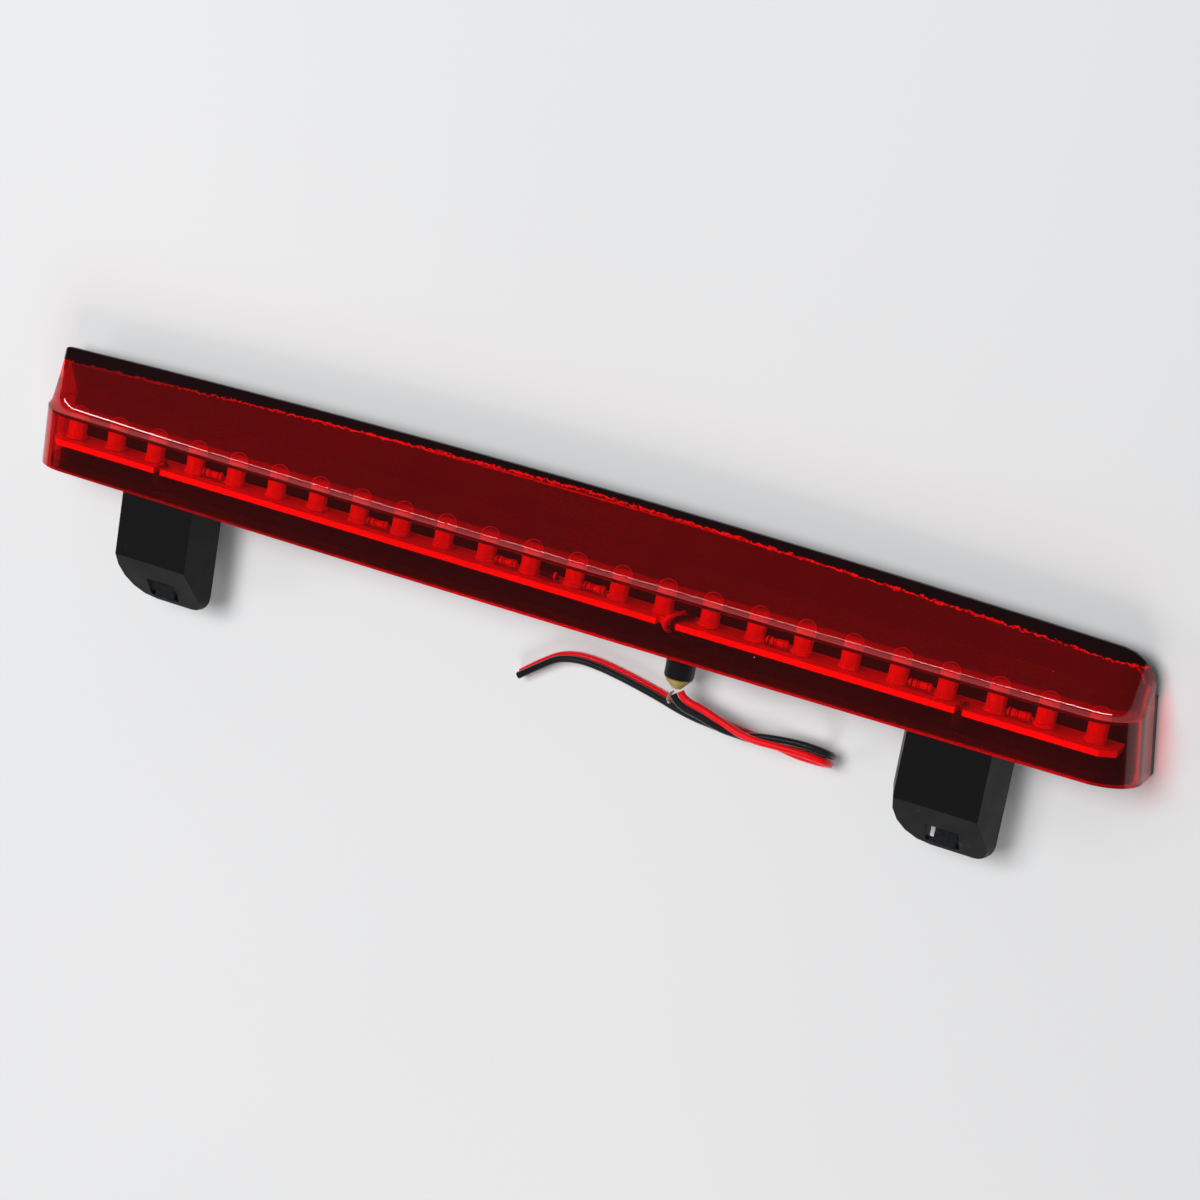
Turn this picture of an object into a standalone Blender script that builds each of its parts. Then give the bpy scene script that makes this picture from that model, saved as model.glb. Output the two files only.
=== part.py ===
"""Third brake light: a red lens glued on a black L-shaped housing, a strip of 24 through-hole LEDs, two
mounting legs and a short two-core lead.

Frame: +X runs along the lamp, +Y is the way the LEDs shine, +Z points away from the surface that the lamp
lies on, on its flat back wall. The origin is under the middle of the lamp, at that surface."""

import math

import bmesh
import bpy
from mathutils import Matrix, Vector

MM = 0.001
GAP = 0.3 * MM  # clearance between pieces that touch on the real lamp

# Lens: a cover that is open underneath and behind.
LENS_WALL = 2.0 * MM
LENS_FOOT_Y = -0.85 * MM
LENS_FRONT_Z = 24.0 * MM
LENS_BOW = 1.7 * MM  # how far the front falls back from the middle to the ends
LENS_CORNER = 12.0 * MM  # radius of each end corner, seen along Y
END_LOW = {"left": 157.3 * MM, "right": 158.6 * MM}  # where the end walls stand at the foot
END_HIGH = {"left": 157.5 * MM, "right": 155.4 * MM}  # and above their draft
END_DRAFT = 20.0 * MM
LEDGE_LOW_Y = 15.25 * MM
LEDGE_HIGH_Y = 16.2 * MM
LEDGE_STEP = 2.2 * MM
LENS_TOP_Y = 33.0 * MM
LENS_TOP_BOW = 3.15 * MM
TOP_CORNER = {"left": 1.0 * MM, "right": 9.0 * MM}
STRAIGHT_STEPS = 14
CORNER_STEPS = 6
CUT_REACH = 3.0 * MM  # how far a cutting shape runs on past the surface that it opens

# Rim: the line across Y and Z on which the lens's foot lies, flat and then sloped.
RIM_KNEE_Y = 18.0 * MM
RIM_SLOPE = 0.48
RIM_TAPER = 3.0 * MM
RIM_EDGE = 1.0 * MM
RIM_NORMAL = (0.433, -0.901)

# Inner face of the lens at the ledge and the top, for each unit of wall.
INNER_LOW = (0.66, 1.0)
INNER_HIGH = (0.81, 0.655)
INNER_TOP = 1.035

# Housing: a back wall and a floor in one moulding, with two pillars.
BACK_WALL = 2.5 * MM
FLOOR_WALL = 2.5 * MM
PILLAR_RADIUS = 2.6 * MM
BORE_RADIUS = 1.0 * MM

# Bead of cement along the lens's foot.
CEMENT_RADIUS = 0.45 * MM
CEMENT_INSET = 1.0 * MM
CEMENT_WAVER = 0.15 * MM
CEMENT_STEPS = 40
CEMENT_TURN_STEPS = 6

# Circuit board and what stands on it.
BOARD_TOP_Y = 7.45 * MM
BOARD_THICK = 1.6 * MM
BOARD_HALF = 152.0 * MM
BOARD_BACK_Z = 9.3 * MM
BOARD_FRONT_Z = 19.7 * MM
BOARD_CHAMFER_X = 3.5 * MM
BOARD_CHAMFER_Z = 2.9 * MM
NOTCH_X = 34.9 * MM
NOTCH_WIDTH = 5.4 * MM
NOTCH_DEPTH = 2.2 * MM
LED_COUNT = 24
LED_PITCH = 12.7 * MM
LED_Z = 14.5 * MM
LED_RADIUS = 2.5 * MM
LED_FLANGE = 2.9 * MM
LED_FLANGE_HEIGHT = 1.0 * MM
LED_HEIGHT = 8.3 * MM
LEAD_SPACING = 2.54 * MM
LEAD_WIDTH = 0.5 * MM
LEAD_HOLE = 0.55 * MM
RESISTOR_AFTER = (4, 8, 11, 13, 17, 20, 22)  # each resistor lies past this LED
RESISTOR_Z = 15.6 * MM
RESISTOR_LENGTH = 6.0 * MM
RESISTOR_RADIUS = 1.1 * MM
RESISTOR_LEAD = 0.3 * MM
DIODE_AFTER = 12

# Screws that hold the board, the housing and the legs together.
SCREW_X = {"left": -116.6 * MM, "right": 113.2 * MM}
SCREW_Z = 17.2 * MM
SCREW_HEAD = 1.6 * MM
SCREW_SHANK = 0.65 * MM
SCREW_LENGTH = 14.0 * MM

# Mounting legs.
LEG_X = {"left": -114.8 * MM, "right": 112.9 * MM}
LEG_FRONT_Z = 21.2 * MM
LEG_BACK_Z = 9.5 * MM
LEG_FRONT_HALF = 11.0 * MM
LEG_BACK_HALF = 14.4 * MM
LEG_SHOULDER_Z = 11.0 * MM
LEG_TOE_Y = -31.4 * MM
LEG_PARTING_Y = -19.0 * MM
TOE_RADIUS_LEFT = 12.5 * MM
TOE_RADIUS_RIGHT = 4.5 * MM
TOE_SLOPE = 0.75  # fall of the toe's front face for each unit that it goes down
WINDOW_X = 1.5 * MM
WINDOW_HALF = 4.4 * MM
WINDOW_TOP_Y = -24.8 * MM
WINDOW_HEIGHT = 5.2 * MM
NUT_HALF = 2.9 * MM
NUT_HEIGHT = 4.0 * MM
NUT_DEPTH = 4.5 * MM
NUT_SETBACK = 0.6 * MM
NUT_BORE = 1.5 * MM

# Cable exit and lead.
EXIT_X = 37.2 * MM
EXIT_Z = 10.0 * MM
GROMMET_RADIUS = 3.9 * MM
GROMMET_BORE = 2.6 * MM
GROMMET_FLANGE = 5.2 * MM
GROMMET_END_Y = -9.2 * MM
SEAL_TIP_RADIUS = 1.5 * MM
SEAL_END_Y = -12.4 * MM
CORE_RADIUS = 0.95 * MM
CORE_SPACING = 2.25 * MM
CORE_STEP = 2.6 * MM
CORD_SIDES = 2  # bevel resolution of the lead and the small wires

# The lead's middle line, with the way from the black core to the red one at each point, in mm.
LEAD_ROUTE = (
    ((37.5, -13.6, 10.0), (1.0, 0.1, 0.0)),
    ((38.1, -14.5, 10.0), (1.0, 0.3, 0.0)),
    ((39.8, -15.7, 9.9), (0.9, 0.5, 0.0)),
    ((42.0, -16.4, 9.8), (0.6, 0.8, 0.1)),
    ((44.6, -16.9, 9.7), (0.4, 0.9, 0.1)),
    ((50.3, -18.6, 9.4), (0.3, 0.9, 0.3)),
    ((56.0, -19.6, 9.2), (0.1, 0.5, 0.9)),
    ((61.5, -19.3, 9.1), (0.0, -0.3, 0.95)),
    ((66.9, -18.8, 9.0), (0.0, -0.6, 0.8)),
    ((72.2, -18.5, 9.0), (0.0, -0.8, 0.6)),
    ((75.6, -18.6, 8.9), (0.0, -0.9, 0.44)),
    ((78.6, -19.2, 7.9), (0.0, -0.9, 0.44)),
    ((79.8, -20.3, 5.4), (0.0, -0.9, 0.44)),
    ((78.6, -21.3, 2.9), (0.0, -0.9, 0.44)),
    ((75.6, -21.9, 1.9), (0.0, -0.95, 0.3)),
    ((70.4, -22.1, 1.6), (0.0, -1.0, 0.0)),
    ((64.8, -22.0, 1.8), (0.0, -0.7, -0.7)),
    ((59.2, -21.9, 2.1), (0.0, 0.1, -1.0)),
    ((53.5, -21.8, 2.1), (0.0, 0.3, -0.95)),
    ((47.8, -21.4, 2.1), (0.0, 0.3, -0.95)),
    ((41.2, -20.8, 2.1), (0.0, 0.3, -0.95)),
    ((36.1, -19.9, 2.1), (0.0, 0.3, -0.95)),
    ((30.1, -18.4, 2.1), (0.0, 0.3, -0.95)),
    ((24.1, -17.1, 2.1), (0.0, 0.3, -0.95)),
    ((18.1, -16.0, 2.1), (0.0, 0.3, -0.95)),
    ((12.1, -15.2, 2.1), (0.0, 0.3, -0.95)),
    ((6.2, -15.1, 2.1), (0.0, 0.3, -0.95)),
    ((0.6, -16.5, 2.1), (0.0, 0.3, -0.95)),
    ((-4.6, -20.0, 2.1), (-0.1, 0.3, -0.95)),
    ((-9.9, -24.2, 2.1), (-0.1, 0.2, -0.97)),
)
INNER_ROUTES = {
    "red": ((36.6, 8.5, 12.6), (36.3, 8.6, 16.0), (35.0, 8.2, 18.4), (34.2, 6.4, 18.8), (34.8, 4.4, 16.8),
            (36.0, 4.2, 12.6), (36.1, 2.6, 10.4), (36.1, 0.0, 10.0), (36.1, -8.0, 10.0)),
    "black": ((39.4, 8.5, 12.6), (39.0, 8.6, 16.0), (37.3, 8.3, 18.4), (36.4, 6.4, 18.8), (37.1, 4.4, 16.8),
              (38.2, 4.2, 12.6), (38.3, 2.6, 10.4), (38.3, 0.0, 10.0), (38.3, -8.0, 10.0)),
}
STRAND_ROUTE = ((36.9, -12.9, 11.5), (36.4, -14.0, 12.2), (36.2, -15.3, 12.1), (36.6, -16.4, 11.6))
STRAND_RADIUS = 0.35 * MM


# ---- scene -------------------------------------------------------------------------------------------

def clear_scene():
    for thing in list(bpy.data.objects):
        bpy.data.objects.remove(thing, do_unlink=True)


def new_collection(name):
    collection = bpy.data.collections.new(name)
    bpy.context.scene.collection.children.link(collection)
    return collection


clear_scene()
PARTS = new_collection("third_brake_light")
CUTTERS = new_collection("cutters")


def material(name, colour, roughness, metallic=0.0, alpha=1.0):
    made = bpy.data.materials.new(name)
    made.use_nodes = True
    shader = made.node_tree.nodes["Principled BSDF"]
    shader.inputs["Base Color"].default_value = (*colour, 1.0)
    shader.inputs["Roughness"].default_value = roughness
    shader.inputs["Metallic"].default_value = metallic
    shader.inputs["Alpha"].default_value = alpha
    return made


def add_object(name, mesh, finish, collection=None):
    thing = bpy.data.objects.new(name, mesh)
    (collection or PARTS).objects.link(thing)
    if finish:
        thing.data.materials.clear()
        thing.data.materials.append(finish)
    return thing


def mesh_from(name, bm):
    bmesh.ops.recalc_face_normals(bm, faces=bm.faces)
    mesh = bpy.data.meshes.new(name)
    bm.to_mesh(mesh)
    bm.free()
    return mesh


def smooth(thing, angle=40.0):
    thing.data.shade_smooth()
    thing.data.set_sharp_from_angle(angle=math.radians(angle))


# ---- shapes ------------------------------------------------------------------------------------------

def prism(name, outline, axis, low, high):
    """A flat outline, in the two other axes in order, drawn out along one axis from low to high."""
    bm = bmesh.new()
    others = [i for i in range(3) if i != axis]
    corners = []
    for point in outline:
        place = [0.0, 0.0, 0.0]
        place[others[0]], place[others[1]] = point
        place[axis] = low
        corners.append(bm.verts.new(place))
    face = bm.faces.new(corners)
    grown = bmesh.ops.extrude_face_region(bm, geom=[face])
    moved = [v for v in grown["geom"] if isinstance(v, bmesh.types.BMVert)]
    travel = [0.0, 0.0, 0.0]
    travel[axis] = high - low
    bmesh.ops.translate(bm, verts=moved, vec=travel)
    return mesh_from(name, bm)


def box_mesh(name, low, high):
    outline = ((low[0], low[1]), (high[0], low[1]), (high[0], high[1]), (low[0], high[1]))
    return prism(name, outline, 2, low[2], high[2])


def turned(name, profile, centre, sides, start=0.0):
    """A solid turned about an axis along Y through centre; profile holds (radius, y) from end to end."""
    bm = bmesh.new()
    x, z = centre
    verts = [bm.verts.new((x + radius, y, z)) for radius, y in profile]
    edges = [bm.edges.new(pair) for pair in zip(verts, verts[1:])]
    bmesh.ops.rotate(bm, verts=verts, cent=(x, 0, z), matrix=Matrix.Rotation(start, 3, "Y"))
    bmesh.ops.spin(bm, geom=verts + edges, cent=(x, 0, z), axis=(0, 1, 0), dvec=(0, 0, 0),
                   angle=math.tau, steps=sides, use_merge=True, use_duplicate=False)
    bmesh.ops.remove_doubles(bm, verts=bm.verts, dist=0.01 * MM)
    return mesh_from(name, bm)


def rod(name, centre, radius, low, high, sides):
    return turned(name, ((0, low), (radius, low), (radius, high), (0, high)), centre, sides)


def cut(target, mesh, operation="DIFFERENCE"):
    """Cut a mesh from the target, or join it on, for good."""
    tool = add_object(target.name + "_tool", mesh, None, CUTTERS)
    tool.display_type = "WIRE"
    tool.hide_render = True
    step = target.modifiers.new(operation.lower(), "BOOLEAN")
    step.operation = operation
    step.solver = "EXACT"
    step.object = tool
    bpy.context.view_layer.update()
    shaped = target.evaluated_get(bpy.context.evaluated_depsgraph_get())
    result = bpy.data.meshes.new_from_object(shaped)
    target.modifiers.remove(step)
    target.data = result
    bpy.data.objects.remove(tool, do_unlink=True)


def joined(name, meshes):
    """Several closed meshes that stay apart, in one mesh."""
    bm = bmesh.new()
    for mesh in meshes:
        bm.from_mesh(mesh)
    return mesh_from(name, bm)


# ---- lens --------------------------------------------------------------------------------------------

def side_of(share):
    return "right" if share > 0 else "left"


def end_x(side, y):
    """Distance of one end wall from the middle, which its draft changes with height."""
    up = min(1.0, (y - LENS_FOOT_Y) / END_DRAFT)
    return END_LOW[side] + (END_HIGH[side] - END_LOW[side]) * up


def lens_stations(inset):
    """Stations from left to right: share of the straight length, reach round the corner, bow and fall."""
    radius = LENS_CORNER - inset
    corner = []
    for i in range(1, CORNER_STEPS + 1):
        angle = math.radians(90.0 * i / CORNER_STEPS)
        corner.append((radius * math.sin(angle), radius * (1 - math.cos(angle))))
    left = [(-1.0, -reach, LENS_BOW, fall) for reach, fall in reversed(corner)]
    shares = [2 * i / STRAIGHT_STEPS - 1 for i in range(STRAIGHT_STEPS + 1)]
    middle = [(share, 0.0, LENS_BOW * share ** 2, 0.0) for share in shares]
    return left + middle + [(1.0, reach, LENS_BOW, fall) for reach, fall in corner]


def station_x(station, y):
    share, reach = station[:2]
    return share * (end_x(side_of(share), y) - LENS_CORNER) + reach


def rim_z(y):
    return BACK_WALL + GAP + max(0.0, y - RIM_KNEE_Y) * RIM_SLOPE


def top_y(station, inset):
    """Y of the top edge, which is bowed and falls away at the end corners."""
    side = side_of(station[0])
    corner = max(TOP_CORNER[side] - inset, 0.0)
    x = abs(station_x(station, LENS_TOP_Y))
    past = max(0.0, min(corner, x - (END_HIGH[side] - TOP_CORNER[side])))
    bow = LENS_TOP_BOW * (x / END_HIGH[side]) ** 2
    return LENS_TOP_Y - bow - (corner - math.sqrt(corner ** 2 - past ** 2)) - inset * INNER_TOP


def lens_section(station, inset):
    """Front line of the lens across Y and Z at one station: foot, both edges of the ledge, and top."""
    bow, fall = station[2:]
    front = LENS_FRONT_Z - bow - inset
    keep = 1 - fall / (front - rim_z(0.0))
    line = [(LENS_FOOT_Y - (CUT_REACH if inset else 0.0), front),
            (LEDGE_LOW_Y - INNER_LOW[0] * inset, front),
            (LEDGE_HIGH_Y - INNER_HIGH[0] * inset, front + inset - LEDGE_STEP - INNER_HIGH[1] * inset)]
    line = [(y, rim_z(y) + (z - rim_z(y)) * keep) for y, z in line]
    top = top_y(station, inset)
    return line + [(top, rim_z(top))]


def lofted(name, rings):
    """A closed body through rings of (x, y, z) points."""
    bm = bmesh.new()
    rings = [[bm.verts.new(place) for place in ring] for ring in rings]
    count = len(rings[0])
    for one, two in zip(rings, rings[1:]):
        for i in range(count):
            j = (i + 1) % count
            bm.faces.new((one[i], one[j], two[j], two[i]))
    bm.faces.new(list(reversed(rings[0])))
    bm.faces.new(rings[-1])
    return mesh_from(name, bm)


def placed(station, line):
    return [(station_x(station, y), y, z) for y, z in line]


def lens_body(name):
    rings = []
    for station in lens_stations(0.0):
        line = lens_section(station, 0.0)
        rings.append(placed(station, line + [(RIM_KNEE_Y, rim_z(0.0)), (LENS_FOOT_Y, rim_z(0.0))]))
    return lofted(name, rings)


def lens_space(name):
    """The space in the lens, which runs on out of its open sides."""
    rings = []
    under = rim_z(0.0) - CUT_REACH
    for station in lens_stations(LENS_WALL):
        line = lens_section(station, LENS_WALL)
        top, high = line[-1]
        out = (top + RIM_NORMAL[0] * CUT_REACH, high + RIM_NORMAL[1] * CUT_REACH)
        rings.append(placed(station, line + [out, (RIM_KNEE_Y, under), (line[0][0], under)]))
    return lofted(name, rings)


def make_lens(finish):
    lens = add_object("lens", lens_body("lens"), finish)
    cut(lens, lens_space("lens_space"))
    smooth(lens, 30)


# ---- housing -----------------------------------------------------------------------------------------

def back_wall():
    """The back wall, flat where the lamp lies on it and sloped above, out to the lens's own outline."""
    rings = []
    slope_wall = BACK_WALL / -RIM_NORMAL[1]
    for station in lens_stations(0.0):
        top = top_y(station, 0.0)
        high = rim_z(top) - GAP
        behind = [(LENS_FOOT_Y, 0.0), (RIM_KNEE_Y + 0.5 * MM, 0.0), (top - RIM_TAPER, high - slope_wall),
                  (top, high - RIM_EDGE)]
        before = [(top, high), (RIM_KNEE_Y, BACK_WALL), (LENS_FOOT_Y, BACK_WALL)]
        rings.append(placed(station, behind + before))
    return lofted("back_wall", rings)


def floor_outline(top):
    """The floor seen along Y: it fills the lens's mouth."""
    inset = LENS_WALL + GAP
    stations = lens_stations(inset)
    front = [(station_x(one, top), LENS_FRONT_Z - inset - one[2] - one[3]) for one in stations]
    back = BACK_WALL / 2
    return [(front[0][0], back)] + front + [(front[-1][0], back)]


def make_housing(finish):
    housing = add_object("housing", back_wall(), finish)
    floor_top = LENS_FOOT_Y + FLOOR_WALL
    cut(housing, prism("floor", floor_outline(floor_top), 1, LENS_FOOT_Y, floor_top), "UNION")
    for x in SCREW_X.values():
        pillar = rod("pillar", (x, SCREW_Z - 0.4 * MM), PILLAR_RADIUS, LENS_FOOT_Y + 1 * MM,
                     BOARD_TOP_Y - BOARD_THICK - GAP, 14)
        cut(housing, pillar, "UNION")
        cut(housing, rod("bore", (x, SCREW_Z), BORE_RADIUS, LENS_FOOT_Y - 2 * MM, BOARD_TOP_Y, 10))
    cut(housing, rod("cable_hole", (EXIT_X, EXIT_Z), GROMMET_RADIUS + GAP, LENS_FOOT_Y - 2 * MM,
                     floor_top + 1 * MM, 16))
    smooth(housing, 30)


def cement_line():
    """The cement's middle line along the foot of the top wall and round the right corner."""
    corner = TOP_CORNER["right"]
    inset = LENS_WALL * INNER_TOP + CEMENT_INSET
    middle_x = END_HIGH["right"] - corner
    start_x = LENS_CORNER - END_HIGH["left"]
    line = []
    for i in range(CEMENT_STEPS + 1):
        x = start_x + (middle_x - start_x) * i / CEMENT_STEPS
        bow = LENS_TOP_BOW * (x / END_HIGH["right"]) ** 2
        line.append((x, LENS_TOP_Y - bow - inset - CEMENT_WAVER * (1 + math.sin(2.7 * i))))
    low = line[-1][1]
    turn = corner - inset - CEMENT_WAVER
    for i in range(1, CEMENT_TURN_STEPS + 1):
        angle = math.radians(80.0 * i / CEMENT_TURN_STEPS)
        line.append((middle_x + turn * math.sin(angle), low - turn * (1 - math.cos(angle))))
    return [(x, y, rim_z(y) + CEMENT_RADIUS + 0.05 * MM) for x, y in line]


def make_cement(finish):
    wire("lens_cement", cement_line(), CEMENT_RADIUS, finish)


# ---- wires -------------------------------------------------------------------------------------------

def wire(name, points, radius, finish):
    curve = bpy.data.curves.new(name, "CURVE")
    curve.dimensions = "3D"
    curve.bevel_depth = radius
    curve.bevel_resolution = CORD_SIDES
    curve.use_fill_caps = True
    spline = curve.splines.new("POLY")
    spline.points.add(len(points) - 1)
    for point, place in zip(spline.points, points):
        point.co = (*place, 1.0)
    return add_object(name, curve, finish)


def spline_at(points, t):
    """A point on the smooth curve through all the points; t counts points."""
    i = max(0, min(len(points) - 2, int(t)))
    u = t - i
    before, after = points[max(i - 1, 0)], points[min(i + 2, len(points) - 1)]
    one, two = points[i], points[i + 1]
    return 0.5 * (2 * one + (two - before) * u + (2 * before - 5 * one + 4 * two - after) * u ** 2
                  + (3 * one - before - 3 * two + after) * u ** 3)


def smooth_line(points, step):
    """Points about a step apart along the smooth curve, each with its t."""
    fine = [k / 40 for k in range(40 * (len(points) - 1) + 1)]
    places = [spline_at(points, t) for t in fine]
    along = [0.0]
    for one, two in zip(places, places[1:]):
        along.append(along[-1] + (two - one).length)
    count = max(2, round(along[-1] / step))
    found = []
    k = 0
    for n in range(count + 1):
        goal = along[-1] * n / count
        while k < len(along) - 2 and along[k + 1] < goal:
            k += 1
        share = (goal - along[k]) / max(along[k + 1] - along[k], 1e-12)
        t = fine[k] + share * (fine[k + 1] - fine[k])
        found.append((t, spline_at(points, t)))
    return found


def core_line(side):
    """The middle of one core of the lead: side is +1 for the red one and -1 for the black one."""
    middles = [Vector(place) * MM for place, _ in LEAD_ROUTE]
    aways = [Vector(away).normalized() for _, away in LEAD_ROUTE]
    line = smooth_line(middles, CORE_STEP)
    points = []
    for n, (t, place) in enumerate(line):
        ahead = line[min(n + 1, len(line) - 1)][1] - line[max(n - 1, 0)][1]
        ahead.normalize()
        away = spline_at(aways, t)
        away = (away - ahead * away.dot(ahead)).normalized()
        points.append(place + away * (side * CORE_SPACING / 2))
    return points


def make_lead(red, black):
    wire("lead_red", core_line(1), CORE_RADIUS, red)
    wire("lead_black", core_line(-1), CORE_RADIUS, black)


def make_inner_wires(red, black, tinned):
    for name, finish in (("red", red), ("black", black)):
        route = [Vector(place) * MM for place in INNER_ROUTES[name]]
        wire("inner_wire_" + name, [place for _, place in smooth_line(route, 1.6 * MM)], 0.7 * MM, finish)
    route = [Vector(place) * MM for place in STRAND_ROUTE]
    wire("tinned_strand", [place for _, place in smooth_line(route, 0.8 * MM)], STRAND_RADIUS, tinned)


# ---- board -------------------------------------------------------------------------------------------

def led_x(number):
    return (number - (LED_COUNT + 1) / 2) * LED_PITCH


def board_outline():
    near, far = BOARD_FRONT_Z, BOARD_BACK_Z
    half, cut_x, cut_z = BOARD_HALF, BOARD_CHAMFER_X, BOARD_CHAMFER_Z
    left, right = NOTCH_X - NOTCH_WIDTH / 2, NOTCH_X + NOTCH_WIDTH / 2
    return [(-half, far), (half, far), (half, near - cut_z), (half - cut_x, near), (right, near),
            (right, near - NOTCH_DEPTH), (left, near - NOTCH_DEPTH), (left, near), (cut_x - half, near),
            (-half, near - cut_z)]


def make_board(finish):
    low = BOARD_TOP_Y - BOARD_THICK
    board = add_object("circuit_board", prism("circuit_board", board_outline(), 1, low, BOARD_TOP_Y), finish)
    holes = []
    for number in range(1, LED_COUNT + 1):
        for side in (-0.5, 0.5):
            centre = (led_x(number) + side * LEAD_SPACING, LED_Z)
            holes.append(rod("hole", centre, LEAD_HOLE, low - 1 * MM, BOARD_TOP_Y + 1 * MM, 6))
    for x in SCREW_X.values():
        holes.append(rod("hole", (x, SCREW_Z), BORE_RADIUS, low - 1 * MM, BOARD_TOP_Y + 1 * MM, 10))
    cut(board, joined("holes", holes))
    for x in SCREW_X.values():
        cut(board, box_mesh("slot", (x - BORE_RADIUS, low - 1 * MM, SCREW_Z),
                            (x + BORE_RADIUS, BOARD_TOP_Y + 1 * MM, BOARD_FRONT_Z + 1 * MM)))


def led_profile():
    low = BOARD_TOP_Y + GAP
    dome = low + LED_HEIGHT - LED_RADIUS
    profile = [(0, low), (LED_FLANGE, low), (LED_FLANGE, low + LED_FLANGE_HEIGHT),
               (LED_RADIUS, low + LED_FLANGE_HEIGHT), (LED_RADIUS, dome)]
    for degrees in (30, 60):
        angle = math.radians(degrees)
        profile.append((LED_RADIUS * math.cos(angle), dome + LED_RADIUS * math.sin(angle)))
    return profile + [(0, dome + LED_RADIUS)]


def make_leds(finish):
    foot = BOARD_TOP_Y - BOARD_THICK + 0.05 * MM
    for number in range(1, LED_COUNT + 1):
        x = led_x(number)
        led = add_object(f"led_{number:02d}", turned("led", led_profile(), (x, LED_Z), 12), finish)
        half = LEAD_WIDTH / 2
        for side in (-0.5, 0.5):
            middle = x + side * LEAD_SPACING
            lead = box_mesh("lead", (middle - half, foot, LED_Z - half),
                            (middle + half, BOARD_TOP_Y + GAP + 0.4 * MM, LED_Z + half))
            cut(led, lead, "UNION")
        smooth(led, 50)


def resistor_profile(start):
    """Radius along the resistor's own length, with its two swollen ends."""
    length, radius = RESISTOR_LENGTH, RESISTOR_RADIUS
    return ((0, start), (0.7 * radius, start), (radius, start + 0.1 * length),
            (radius, start + 0.24 * length),
            (0.82 * radius, start + 0.32 * length), (0.82 * radius, start + 0.68 * length),
            (radius, start + 0.76 * length), (radius, start + 0.9 * length), (0.7 * radius, start + length),
            (0, start + length))


def axial_part(name, after, profile, finish):
    """An axial part that lies along the board between two LEDs, on two bent leads."""
    half = profile[-1][1]
    x = led_x(after) + LED_PITCH / 2
    y = BOARD_TOP_Y + GAP + RESISTOR_RADIUS + 0.3 * MM
    mesh = turned(name, profile, (0.0, 0.0), 10)
    bm = bmesh.new()
    bm.from_mesh(mesh)
    for vert in bm.verts:
        across, along, deep = vert.co
        vert.co = (x + along, y + across, RESISTOR_Z + deep)
    thing = add_object(name, mesh_from(name, bm), finish)
    for side in (-1, 1):
        near, far = sorted((x + side * (half - 0.4 * MM), x + side * (half + 0.55 * MM)))
        stub = box_mesh("stub", (near, y - RESISTOR_LEAD, RESISTOR_Z - RESISTOR_LEAD),
                        (far, y + RESISTOR_LEAD, RESISTOR_Z + RESISTOR_LEAD))
        cut(thing, stub, "UNION")
        near, far = sorted((x + side * (half + 0.05 * MM), x + side * (half + 0.55 * MM)))
        drop = box_mesh("drop", (near, BOARD_TOP_Y + GAP, RESISTOR_Z - RESISTOR_LEAD),
                        (far, y + RESISTOR_LEAD, RESISTOR_Z + RESISTOR_LEAD))
        cut(thing, drop, "UNION")
    smooth(thing, 40)


def make_axial_parts(resistor_finish, diode_finish):
    for number, after in enumerate(RESISTOR_AFTER, 1):
        axial_part(f"resistor_{number}", after, resistor_profile(-RESISTOR_LENGTH / 2), resistor_finish)
    half = 0.42 * RESISTOR_LENGTH
    radius = 0.95 * RESISTOR_RADIUS
    profile = ((0, -half), (radius, -half), (radius, half), (0, half))
    axial_part("diode", DIODE_AFTER, profile, diode_finish)


# ---- screws and legs ---------------------------------------------------------------------------------

def make_screw(side, finish):
    seat = BOARD_TOP_Y + GAP
    head = SCREW_HEAD
    profile = ((0, seat - SCREW_LENGTH), (SCREW_SHANK, seat - SCREW_LENGTH + 1.2 * MM), (SCREW_SHANK, seat),
               (head, seat), (head, seat + 0.5 * MM), (0.6 * head, seat + 1.05 * MM), (0, seat + 1.15 * MM))
    centre = (SCREW_X[side], SCREW_Z)
    screw = add_object(f"{side}_screw", turned("screw", profile, centre, 12), finish)
    for long_x in (True, False):
        a, b = (0.95 * MM, 0.22 * MM) if long_x else (0.22 * MM, 0.95 * MM)
        slot = box_mesh("slot", (centre[0] - a, seat + 0.55 * MM, centre[1] - b),
                        (centre[0] + a, seat + 2 * MM, centre[1] + b))
        cut(screw, slot)
    smooth(screw, 40)


def leg_outline(half):
    """The leg seen along Z at one depth: square shoulders, and a toe with two unlike round corners."""
    points = [(-half, LENS_FOOT_Y - GAP)]
    for corner, side in ((TOE_RADIUS_LEFT, -1), (TOE_RADIUS_RIGHT, 1)):
        for i in range(6):
            angle = math.radians(90.0 * i / 5)
            if side > 0:
                angle = math.radians(90.0) - angle
            points.append((side * (half - corner + corner * math.cos(angle)),
                           LEG_TOE_Y + corner - corner * math.sin(angle)))
    return points + [(half, LENS_FOOT_Y - GAP)]


def leg_mesh(x):
    """The leg as a loft of its outline at the back, at the shoulder and at the front."""
    depths = ((LEG_BACK_Z, LEG_BACK_HALF - 0.8 * MM), (LEG_SHOULDER_Z, LEG_BACK_HALF),
              (LEG_FRONT_Z, LEG_FRONT_HALF))
    return lofted("leg", [[(x + across, y, z) for across, y in leg_outline(half)] for z, half in depths])


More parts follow.
